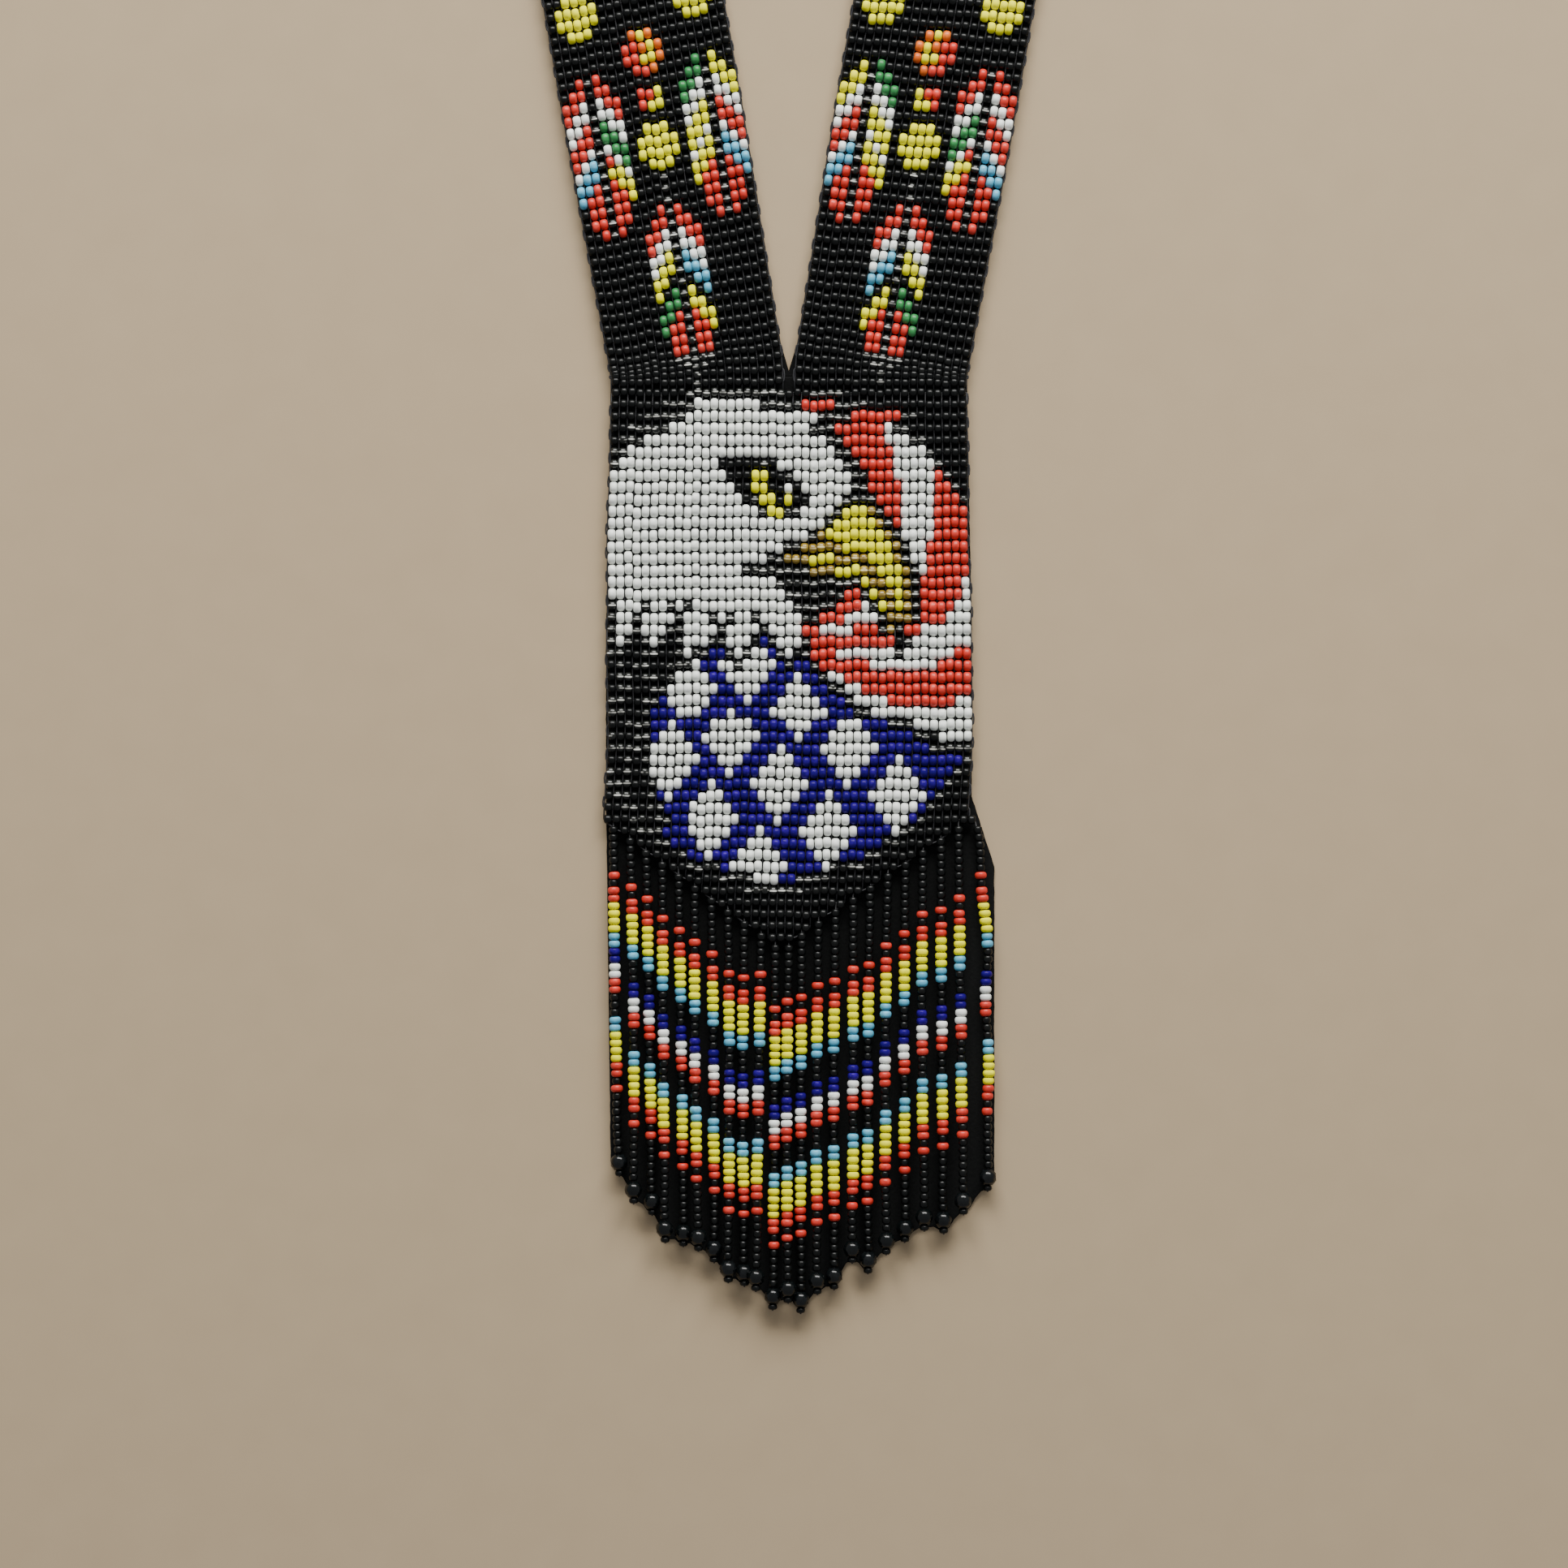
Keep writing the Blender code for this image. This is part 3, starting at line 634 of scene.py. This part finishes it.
def set_attribute(item, name, values):
    """One value for each point."""
    layer = item.data.attributes.new(name, "FLOAT", "POINT")
    layer.data.foreach_set("value", np.asarray(values, np.float32))


def ring_quads(rings, sides):
    """Quads of a closed ring-shaped surface: rings round the hole's axis, each with sides."""
    ring, side = np.meshgrid(np.arange(rings), np.arange(sides), indexing="ij")
    next_ring, next_side = (ring + 1) % rings, (side + 1) % sides
    corners = (ring * sides + side, next_ring * sides + side,
               next_ring * sides + next_side, ring * sides + next_side)
    return np.stack(corners, -1).reshape(-1, 4)


def turned_bead(profile, sides, stagger=0.0):
    """Unit bead along X, from (place, radius) pairs that end inside the hole."""
    points = []
    for number, (place, radius) in enumerate(profile):
        for k in range(sides):
            angle = 2 * math.pi * (k + stagger * (number % 2)) / sides
            points.append((place, radius * math.sin(angle), radius * math.cos(angle)))
    return np.array(points), ring_quads(len(profile), sides)


# (place, radius) along the hole, each as a share of the bead's own length or radius
SEED_PROFILE = (
    (-0.49, 0.38), (-0.455, 0.65), (-0.355, 0.86), (-0.15, 0.985),
    (0.15, 0.985), (0.355, 0.86), (0.455, 0.65), (0.49, 0.38),
    (0.44, HOLE), (-0.44, HOLE),
)
CUT_PROFILE = (
    (-0.50, 0.56), (-0.24, 0.93), (0.0, 1.0), (0.24, 0.93), (0.50, 0.56), (0.47, 0.36), (-0.47, 0.36),
)
SEED_BEAD = turned_bead(SEED_PROFILE, BEAD_SIDES)
CUT_BEAD = turned_bead(CUT_PROFILE, CUT_SIDES, stagger=0.5)


def unit(vectors):
    """The same directions, each of length 1."""
    return vectors / np.linalg.norm(vectors, axis=-1, keepdims=True)


def painted_reflection_mask(points):
    """Where the painted reflection goes: 1 along a bead's upper side, falling to 0 a twelfth of a
    turn away from it.
    """
    angle = np.arctan2(points[:, 1], points[:, 2])
    across = np.clip(1 - np.abs(angle) * BEAD_SIDES / (2 * math.pi), 0, 1)
    outside = np.hypot(points[:, 1], points[:, 2]) > HOLE * 1.05
    return across * outside


def place_beads(name, beads, shape, material, smooth_shading=True):
    """One piece of many beads. A bead is (centre, hole axis, up, length, radius, shade)."""
    points, quads = shape
    centres = np.array([bead[0] for bead in beads])
    along = unit(np.array([bead[1] for bead in beads]))
    up = np.array([bead[2] for bead in beads])
    up = unit(up - along * (up * along).sum(1, keepdims=True))
    across = np.cross(up, along)
    length = np.array([bead[3] for bead in beads])[:, None, None]
    radius = np.array([bead[4] for bead in beads])[:, None, None]
    shade = np.array([bead[5] for bead in beads])
    world = (centres[:, None, :]
             + points[None, :, 0:1] * length * along[:, None, :]
             + points[None, :, 1:2] * radius * across[:, None, :]
             + points[None, :, 2:3] * radius * up[:, None, :])
    count = len(points)
    all_quads = (quads[None] + (np.arange(len(beads)) * count)[:, None, None]).reshape(-1, 4)
    item = mesh_piece(name, world.reshape(-1, 3), all_quads, material, smooth_shading)
    set_attribute(item, "tint", np.repeat(shade, count))
    # each point's share of the painted reflection, a bright line painted along the bead
    set_attribute(item, "painted_reflection", np.tile(painted_reflection_mask(points), len(beads)))
    return item


def tube(points, radius):
    """Points and quads of one closed thread along a line of points."""
    sides = TUBE_SIDES
    line = np.asarray(points, float)
    ahead = unit(np.gradient(line, axis=0))
    guide = np.where(np.abs(ahead[:, 2:3]) > 0.9, np.array([[1.0, 0, 0]]), UP[None])
    across = unit(np.cross(ahead, guide))
    other = np.cross(ahead, across)
    angles = 2 * math.pi * np.arange(sides) / sides
    rings = (line[:, None, :]
             + radius * np.cos(angles)[None, :, None] * across[:, None, :]
             + radius * np.sin(angles)[None, :, None] * other[:, None, :])
    quads = []
    for i in range(len(line) - 1):
        for k in range(sides):
            j = (k + 1) % sides
            quads.append((i * sides + k, i * sides + j, (i + 1) * sides + j, (i + 1) * sides + k))
    last = (len(line) - 1) * sides
    quads += [(3, 2, 1, 0), (5, 4, 3, 0)]
    quads += [(last, last + 1, last + 2, last + 3), (last, last + 3, last + 4, last + 5)]
    return rings.reshape(-1, 3), np.array(quads)


def thread_piece(name, lines, radius, body):
    """One piece of many threads."""
    points, quads, start = [], [], 0
    for line in lines:
        its_points, its_quads = tube(line, radius)
        points.append(its_points)
        quads.append(its_quads + start)
        start += len(its_points)
    item = mesh_piece(name, np.concatenate(points), np.concatenate(quads), THREAD)
    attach(item, body)
    return item


# ------------------------ beads in their places

bags = {}  # the beads of each body, part and colour


def jitter(spread):
    """A random difference."""
    return rng.normal(0, spread)


def held_jitter(spread, least, most):
    """A random difference that stays between least and most."""
    return min(max(jitter(spread), least), most)


def add_bead(body, part, letter, centre, along, up, length):
    """Puts one bead in its bag, with the small differences that glass beads have."""
    tilt = np.array([jitter(spread) for spread in TILT_SPREAD])
    bead = (
        centre,
        along + tilt,
        up + tilt[::-1],
        length * (1 + held_jitter(*LENGTH_SPREAD)),
        BEAD_RADIUS[letter] * (1 + held_jitter(*RADIUS_SPREAD)),
        rng.random(),
    )
    bags.setdefault((body, part, letter), []).append(bead)


def wander(place, waves):
    """A slow, uneven sideways wander, from (size, wavelength, phase) waves."""
    return sum(size * math.sin(2 * math.pi * place / length + phase)
               for size, length, phase in waves)


def column_steps(columns, first, change):
    """For each row in turn, how far each column's bead stands off the row's line."""
    steps = np.array([jitter(first) for _ in range(columns)])
    while True:
        steps += np.array([jitter(change) for _ in range(columns)])
        steps *= STEP_MEMORY
        yield steps


def panel_beads():
    steps = column_steps(COLUMNS + 1, *PANEL_STEPS)
    for row, letters in enumerate(panel_chart()):
        start = 1 + STEP_BEADS * max(0, row - LAST_FULL_ROW)
        body = "upper_panel" if row <= FOLD_ROW else "lower_panel"
        column_step = next(steps)
        narrow = panel_half(row) / PANEL_HALF
        sideways = drift(row) + wander(row_y(row), PANEL_WAVES)
        for offset, letter in enumerate(letters):
            column = start + offset
            x = (column - (COLUMNS + 1) / 2) * BEAD_LENGTH * narrow + sideways
            place = np.array([
                x + jitter(PLACE_SPREAD),
                row_y(row) + column_step[column - 1] + jitter(PANEL_ROW_SPREAD),
                AXIS_Z + jitter(PLACE_SPREAD),
            ])
            add_bead(body, body, letter, place, RIGHT, UP, WOVEN_LENGTH * narrow)


def strap_shear(row, side):
    """How far a strap's row is off square, as a slope."""
    grows, full, fades, square = SHEAR_ROWS
    share = smooth((row - grows) / (full - grows)) * (1 - smooth((row - fades) / (square - fades)))
    return STRAP_SHEAR[side] * share


def strap_place(row, side, share):
    """A point on a strap's row: share runs from -1 at its outer edge to 1 at its inner one."""
    s = strap_row_s(row)
    offset = share * (STRAP_HALF - strap_taper(s))
    centre, inner, face = side_frame(s + offset * strap_shear(row, side), side)
    return centre + inner * offset, inner, face


def strap_beads():
    chart = strap_chart()
    for side, name in ((-1, "left"), (1, "right")):
        steps = column_steps(STRAP_COLUMNS, *STRAP_STEPS)
        for row in range(1, STRAP_ROWS + 1):
            body = "neck_front" if row <= FRONT_ROWS else "neck_rear"
            part = name + ("_strap_front" if row <= FRONT_ROWS else "_strap_rear")
            column_step = next(steps)
            letters = chart[(row - 1) % STRAP_REPEAT]
            length = WOVEN_LENGTH * (1 - strap_taper(strap_row_s(row)) / STRAP_HALF)
            for column, letter in enumerate(letters):
                share = (2 * column + 1) / STRAP_COLUMNS - 1
                place, inner, face = strap_place(row, side, share)
                ahead = unit(np.cross(face, inner) * -side)
                place = place + inner * jitter(PLACE_SPREAD) + face * jitter(PLACE_SPREAD)
                place = place + ahead * (column_step[column] + jitter(PLACE_SPREAD))
                add_bead(body, part, letter, place, inner, face, length)


def strand_curve(index):
    """A function from distance along a strand to its place, and the strand's direction."""
    hinge, direction = strand_line(index)
    whole = strand_places(index)[3]
    sway = rng.uniform(*STRAND_SWAY) * rng.choice((-1, 1))
    turns = rng.uniform(*STRAND_TURNS)
    ripple = rng.uniform(*STRAND_RIPPLE)
    phase = rng.uniform(0, 2 * math.pi)
    bow = EDGE_BOW if index == STRANDS - 1 else 0.0

    def at(distance):
        share = distance / whole
        bend = sway * math.sin(math.pi * turns * share)
        bend += ripple * share * math.sin(RIPPLE_TURNS * math.pi * share + phase)
        wave = 1 - BOW_WAVE + BOW_WAVE * math.cos(BOW_TURNS * math.pi * share)
        bend += bow * math.sin(math.pi * share ** BOW_START) * wave
        return hinge + direction * distance + RIGHT * bend

    return at, direction


def fringe():
    for index in range(STRANDS):
        number = f"{index + 1:02d}"
        body = "strand_" + number
        at, direction = strand_curve(index)
        for k, letter in enumerate(strand_letters(index)):
            place = at(FIRST_BEAD + (k + 0.5) * STRAND_BEAD)
            sideways, up = (jitter(spread) for spread in STRUNG_SPREAD)
            place = place + np.array([sideways, 0, up])
            add_bead(body, "fringe_" + number, letter, place, direction, UP, STRUNG_LENGTH)
        _, middle, stop, tip = strand_places(index)
        stop_bead = at((stop + tip) / 2 - STOP_TUCK)
        add_bead(body, "fringe_" + number, "k", stop_bead, direction, UP, STOP_LENGTH)
        spin = rng.uniform(0, 2 * math.pi)
        up = np.array([math.cos(spin), 0, math.sin(spin)])
        cut = (at(middle), direction, up, CUT_BEAD_LENGTH, CUT_BEAD_RADIUS, rng.random())
        item = place_beads("cut_bead_" + number, [cut], CUT_BEAD, END_GLASS, False)
        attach(item, body)
        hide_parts("end_bead_" + number)
        line = [at(distance) for distance in np.linspace(0, tip - STOP_TUCK, THREAD_POINTS)]
        thread = thread_piece("strand_thread_" + number, [line], STRAND_THREAD, body)
        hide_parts("fringe_strand_" + number)


def make_bead_pieces():
    """One piece for each colour on each part, split where it would hold too many beads."""
    for (body, part, letter), beads in bags.items():
        pieces = math.ceil(len(beads) / MOST_BEADS)
        for k in range(pieces):
            some = beads[k * len(beads) // pieces:(k + 1) * len(beads) // pieces]
            name = f"{part}_{SLOTS[letter]}" + (f"_{k + 1}" if pieces > 1 else "")
            item = place_beads(name, some, SEED_BEAD, BEAD_MATERIALS[letter])
            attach(item, body)
            if part in frame["nodes"]:
                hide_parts(part)


# ------------------------ woven threads

def serpentine(rows, ends_of_row, outwards):
    """One thread there and back through the rows, with a small loop at each edge."""
    line = []
    for count, row in enumerate(rows):
        left, right = ends_of_row(row)
        here = (left, right) if count % 2 == 0 else (right, left)
        if line:
            before = line[-1]
            side = outwards(row, count % 2 == 1)
            middle = (before + here[0]) / 2
            line.append(before * (1 - LOOP_LEAD) + middle * LOOP_LEAD + side * LOOP_RISE)
            line.append(middle + side)
            line.append(here[0] * (1 - LOOP_LEAD) + middle * LOOP_LEAD + side * LOOP_RISE)
        line += [here[0], here[1]]
    return line


def panel_ends(row):
    """The two ends of a panel row."""
    lost = STEP_BEADS * max(0, row - LAST_FULL_ROW)
    half = (COLUMNS - 2 * lost) * BEAD_LENGTH / 2 * panel_half(row) / PANEL_HALF
    middle = drift(row) + wander(row_y(row), PANEL_WAVES)
    return (np.array([middle - half, row_y(row), AXIS_Z]),
            np.array([middle + half, row_y(row), AXIS_Z]))


def panel_threads():
    """A weft through each part's rows, and warps from fold to fold between the columns."""
    def outwards(_, at_right):
        return RIGHT * (EDGE_LOOP if at_right else -EDGE_LOOP)

    last_row = LAST_FULL_ROW + STEP_ROWS
    for body, first, last in (("upper_panel", 0, FOLD_ROW), ("lower_panel", FOLD_ROW + 1, last_row)):
        weft = serpentine(range(first, last + 1), panel_ends, outwards)
        thread_piece(body + "_weft", [weft], WEFT_RADIUS, body)
        warps = []
        for k in range(COLUMNS + 1):
            line = []
            for row in range(min(first, FOLD_ROW), last + 1):
                left, right = panel_ends(row)
                pitch = BEAD_LENGTH * panel_half(row) / PANEL_HALF
                x = (left[0] + right[0]) / 2 + (k - COLUMNS / 2) * pitch
                if left[0] - pitch / 4 <= x <= right[0] + pitch / 4:
                    line.append(np.array([x + jitter(WARP_SPREAD), row_y(row), AXIS_Z]))
            if len(line) > 1:
                warps.append(line)
        thread_piece(body + "_warp", warps, WARP_RADIUS, body)


def strap_threads():
    """The same for the straps, whose first warp point is on the neck's fold."""
    for side, name in ((-1, "left"), (1, "right")):
        def ends(row):
            return strap_place(row, side, -1.0)[0], strap_place(row, side, 1.0)[0]

        def outwards(row, at_inner):
            inner = strap_place(row, side, 0.0)[1]
            return inner * (EDGE_LOOP if at_inner else -EDGE_LOOP)

        for body, part, first, last in (
            ("neck_front", "_strap_front", 1, FRONT_ROWS),
            ("neck_rear", "_strap_rear", FRONT_ROWS + 1, STRAP_ROWS),
        ):
            weft = serpentine(range(first, last + 1), ends, outwards)
            thread_piece(name + part + "_weft", [weft], WEFT_RADIUS, body)
            warps = []
            for k in range(STRAP_COLUMNS + 1):
                share = 2 * k / STRAP_COLUMNS - 1
                line = []
                for row in range(first - 1, last + 1):
                    point, inner, _ = strap_place(max(row, 1), side, share)
                    point = point + inner * jitter(WARP_SPREAD)
                    if row == 0:
                        point = np.array([point[0], FOLD_Y["neck"], AXIS_Z])
                    line.append(point)
                warps.append(line)
            thread_piece(name + part + "_warp", warps, WARP_RADIUS, body)


def nape_seam():
    """Whip stitches round both straps' ends, from the lower edge to the upper one."""
    centre, _, _ = strap_frame(STRAP_LENGTH + SEAM_SIDE)
    last = SEAM_STITCHES * SEAM_STEPS
    line = []
    for k in range(last + 1):
        turn = 2 * math.pi * k / SEAM_STEPS
        x, y = (math.copysign(abs(value) ** SEAM_SQUARENESS, value)
                for value in (math.cos(turn), math.sin(turn)))
        height = centre[2] - STRAP_HALF + 2 * STRAP_HALF * k / last
        line.append(np.array([SEAM_REACH * x, centre[1] + SEAM_THICK * y, height]))
    item = thread_piece("nape_whip_stitch", [line], SEAM_THREAD, "neck_rear")
    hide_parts("nape_seam")


# ------------------------ felt

def felt_plate(name, outline):
    """Flat felt with softly rounded, slightly ragged edges."""
    body = bmesh.new()
    verts = []
    for x, y in outline:
        verts.append(body.verts.new((x + jitter(FELT_RAG), y + jitter(FELT_RAG), 0.0)))
    face = body.faces.new(verts)
    extruded = bmesh.ops.extrude_face_region(body, geom=[face])
    top = [item for item in extruded["geom"] if isinstance(item, bmesh.types.BMVert)]
    bmesh.ops.translate(body, verts=top, vec=(0, 0, FELT))
    bmesh.ops.recalc_face_normals(body, faces=body.faces)
    rims = [edge for edge in body.edges if abs(edge.verts[0].co.z - edge.verts[1].co.z) < FELT / 4]
    bmesh.ops.bevel(body, geom=rims, offset=FELT_ROUND, segments=2, affect="EDGES")
    bmesh.ops.triangulate(body, faces=body.faces)
    mesh = bpy.data.meshes.new(name)
    body.to_mesh(mesh)
    body.free()
    mesh.shade_smooth()
    mesh.set_sharp_from_angle(angle=FELT_SHARP)
    mesh.materials.append(FELT_CLOTH)
    item = bpy.data.objects.new(name, mesh)
    bpy.context.collection.objects.link(item)
    return item


def outline_area(outline):
    """The area inside a closed outline."""
    x = np.array([point[0] for point in outline])
    y = np.array([point[1] for point in outline])
    return abs(float(np.dot(x, np.roll(y, 1)) - np.dot(y, np.roll(x, 1)))) / 2


def declare_felt(item, outline, body, node):
    """Rides with its body in place of the CAD's lining; the felt's bounds and area are worked out but
    not kept.
    """
    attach(item, body)
    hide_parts(node)
    low, high = np.min(outline, axis=0), np.max(outline, axis=0)
    outline_area(outline)


def dense(corners):
    """Points along the straight runs between corners, close enough for a ragged felt edge."""
    points = []
    for here, there in zip(corners, corners[1:]):
        here, there = np.array(here), np.array(there)
        count = max(1, int(np.linalg.norm(there - here) / FELT_STEP))
        points += [tuple(here + (there - here) * k / count) for k in range(count)]
    return points + [tuple(corners[-1])]


def scalloped_end():
    """The felt's edge round the ends of the strands, from left to right."""
    ends = []
    for index in range(STRANDS):
        hinge, direction = strand_line(index)
        ends.append((hinge + direction * (strand_places(index)[1] + FELT_PAST_BEADS))[:2])
    edge = []
    for here, there in zip(ends, ends[1:]):
        for k in range(SCALLOP_POINTS):
            t = k / SCALLOP_POINTS
            dip = SCALLOP * math.sin(math.pi * t) ** 2
            rise = here[1] + (there[1] - here[1]) * smooth(t) + dip
            edge.append((here[0] + (there[0] - here[0]) * t, rise))
    return edge + [tuple(ends[-1])]


def felt_lower():
    side = PANEL_HALF + FELT_MARGIN
    start, corner = FOLD_Y["panel"] - BEND, row_y(FELT_CORNER_ROW)
    edge = scalloped_end()
    left_end = (edge[0][0] - FELT_PAST_SIDES, edge[0][1] + FELT_PAST_BEADS)
    right_end = (edge[-1][0] + FELT_PAST_SIDES, edge[-1][1] + FELT_PAST_BEADS)
    shoulder = (right_end[0], row_y(FELT_SHOULDER_ROW))
    outline = dense([(-side, start), (-side, corner), left_end, edge[0]])
    outline += edge[1:-1]
    outline += dense([edge[-1], right_end, shoulder, (side, corner), (side, start)])
    declare_felt(felt_plate("felt_lower", outline), outline, "lower_panel", "lower_lining")


def felt_upper():
    top, bottom = FOLD_Y["neck"] - BEND, FOLD_Y["panel"] + BEND
    corners = []
    for x, y in ((-1, top), (-1, bottom), (1, bottom), (1, top)):
        row = (V_LINE - y) / ROW_PITCH - 0.5
        corners.append((x * (panel_half(row) + FELT_MARGIN), y))
    outline = dense(corners)
    declare_felt(felt_plate("felt_upper", outline), outline, "upper_panel", "upper_lining")


def felt_neck_front():
    """The felt behind both front straps, with a web that fills the tip of the V."""
    bottom, top = FOLD_Y["neck"] + BEND, FOLD_Y["rear"] - BEND
    outer, inner = [], []
    for s in np.arange(0.0, REAR_FOLD_S, FELT_STEP):
        centre, to_inner, _ = strap_frame(s)
        half = STRAP_FELT_HALF - strap_taper(s)
        left, right = centre - to_inner * half, centre + to_inner * half
        if bottom < left[1] < top:
            outer.append((left[0], left[1]))
        if s > WEB_SIDE and right[1] < top:
            inner.append((right[0], right[1]))
    outer = [(outer[0][0], bottom)] + outer + [(-NAPE_RADIUS - STRAP_FELT_HALF, top)]
    inner.append((-NAPE_RADIUS + STRAP_FELT_HALF, top))
    left = outer + inner[::-1]
    apex = (0.0, V_LINE + WEB_TOP)
    outline = left + [apex] + [(-x, y) for x, y in reversed(left)]
    declare_felt(felt_plate("felt_neck_front", outline), outline, "neck_front",
                 "neck_front_lining")


def felt_strip(name, edges, y):
    """The short stretch of felt at a fold. edges gives its sides at a height."""
    steps, across = STRIP_STEPS, STRIP_COLUMNS
    low, high = [], []
    for i in range(steps + 1):
        here = y - BEND + 2 * BEND * i / steps
        left, right = edges(here)
        for k in range(across + 1):
            x = left + (right - left) * k / across
            low.append((x, here, 0.0))
            high.append((x, here, FELT))
    width, count = across + 1, len(low)
    quads = []
    for i in range(steps):
        for k in range(across):
            a = i * width + k
            quads.append((a, a + width, a + width + 1, a + 1))
            quads.append((count + a, count + a + 1, count + a + width + 1, count + a + width))
    rim = list(range(width))
    rim += [i * width + across for i in range(1, steps + 1)]
    rim += [steps * width + k for k in range(across - 1, -1, -1)]
    rim += [i * width for i in range(steps - 1, 0, -1)]
    for here, there in zip(rim, rim[1:] + rim[:1]):
        quads.append((here, there, there + count, here + count))
    item = mesh_piece(name, low + high, np.array(quads), FELT_CLOTH, False)
    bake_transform(item)
    return item


def felt_rear():
    """One strip of felt inside the rear loop, from fold to fold round the nape."""
    drop = AXIS_Z - FELT / 2
    half, thick, corner = STRAP_FELT_HALF, FELT / 2, FELT_ROUND
    across = np.linspace(-half + corner, half - corner, REAR_COLUMNS)
    section = [(x, -thick) for x in across] + [(half, -thick + corner), (half, thick - corner)]
    section += [(x, thick) for x in across[::-1]]
    section += [(-half, thick - corner), (-half, -thick + corner)]
    distances = np.append(np.arange(REAR_FOLD_S + BEND, STRAP_LENGTH, REAR_STEP),
                          STRAP_LENGTH + SEAM_SIDE)
    rings = []
    for side in (-1, 1):
        for s in distances if side < 0 else distances[-2::-1]:
            centre, inner, face = side_frame(s, side)
            inner = inner * -side
            rings.append([centre - face * drop + inner * x + face * y for x, y in section])
    count, sides = len(rings), len(section)
    quads = []
    for i in range(count - 1):
        for k in range(sides):
            j = (k + 1) % sides
            quads.append((i * sides + k, (i + 1) * sides + k, (i + 1) * sides + j, i * sides + j))
    last = (count - 1) * sides
    for k in range(len(across) - 1):
        cap = np.array((k, k + 1, sides - 4 - k, sides - 3 - k))
        quads += [tuple(cap), tuple(cap[::-1] + last)]
    for cap in ((sides - 1, 0, sides - 3, sides - 2),
                (len(across) - 1, len(across), len(across) + 1, len(across) + 2)):
        quads += [cap, tuple(np.array(cap[::-1]) + last)]
    item = mesh_piece("felt_rear", np.array(rings).reshape(-1, 3), np.array(quads), FELT_CLOTH)
    item.data.set_sharp_from_angle(angle=FELT_SHARP)
    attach(item, "neck_rear")
    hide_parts("rear_lining")


def felt():
    def panel_edges(y):
        half = panel_half((V_LINE - y) / ROW_PITCH - 0.5) + FELT_MARGIN
        return -half, half

    panel = felt_strip("felt_panel_fold", panel_edges, FOLD_Y["panel"])
    neck = felt_strip("felt_neck_fold", panel_edges, FOLD_Y["neck"])
    for sign, name in ((-1, "left"), (1, "right")):
        def strap_edges(_):
            return sign * NAPE_RADIUS - STRAP_FELT_HALF, sign * NAPE_RADIUS + STRAP_FELT_HALF

        felt_strip("felt_rear_fold_" + name, strap_edges, FOLD_Y["rear"])
    felt_lower()
    felt_upper()
    felt_neck_front()
    felt_rear()


# ------------------------ camera, floor and light

FRAME_WIDTH = 276 * MM  # what the picture takes in, at the beads
CAMERA_HEIGHT = 0.95
SENSOR = 36.0  # the camera's, in millimetres
FLOOR_HALF = 3.0
FLOOR_DROP = 0.05 * MM  # the floor is this far below the felt
VIEW_CENTRE = (-0.86 * MM, V_LINE - 69.9 * MM)


def make_camera():
    data = bpy.data.cameras.new("camera")
    data.sensor_width = SENSOR
    data.lens = SENSOR * (CAMERA_HEIGHT - AXIS_Z) / FRAME_WIDTH
    camera = bpy.data.objects.new("camera", data)
    camera.location = (*VIEW_CENTRE, CAMERA_HEIGHT)
    bpy.context.collection.objects.link(camera)
    bpy.context.scene.camera = camera


def make_floor():
    material, nodes, links, shader = new_material("plain_floor")
    weave = noise(nodes, links, FLOOR_SCALE, 3.0)
    colour = mix_colour(nodes, links, weave, (0.382, 0.293, 0.188), (0.412, 0.318, 0.205))
    links.new(colour, shader.inputs["Base Color"])
    shader.inputs["Roughness"].default_value = 0.9
    shader.inputs["Specular IOR Level"].default_value = 0.1
    mesh = bpy.data.meshes.new("floor")
    corners = [(x * FLOOR_HALF, y * FLOOR_HALF, 0) for x, y in ((-1, -1), (1, -1), (1, 1), (-1, 1))]
    mesh.from_pydata(corners, [], [(0, 1, 2, 3)])
    mesh.materials.append(material)
    floor = bpy.data.objects.new("floor", mesh)
    floor.location.z = -FLOOR_DROP
    bpy.context.collection.objects.link(floor)


def area_light(name, place, size, power, colour):
    """A soft rectangular light at place, (right, up the frame, height) of the view's centre."""
    data = bpy.data.lights.new(name, "AREA")
    data.shape = "RECTANGLE"
    data.size, data.size_y = size
    data.energy = power
    data.color = colour
    light = bpy.data.objects.new(name, data)
    light.location = (VIEW_CENTRE[0] + place[0], VIEW_CENTRE[1] + place[1], place[2])
    light.rotation_euler = (-Vector(place)).to_track_quat("-Z", "Y").to_euler()
    bpy.context.collection.objects.link(light)


def make_light():
    area_light("window", (0.08, 0.95, 0.54), (1.1, 0.5), 33.0, (1.0, 0.99, 0.965))
    world = bpy.data.worlds.new("soft_room")
    world.use_nodes = True
    background = world.node_tree.nodes["Background"]
    background.inputs["Color"].default_value = (0.97, 0.98, 1.0, 1.0)
    background.inputs["Strength"].default_value = 0.4
    bpy.context.scene.world = world


make_camera()
make_floor()
make_light()
panel_beads()
strap_beads()
fringe()
make_bead_pieces()
panel_threads()
strap_threads()
nape_seam()
felt()
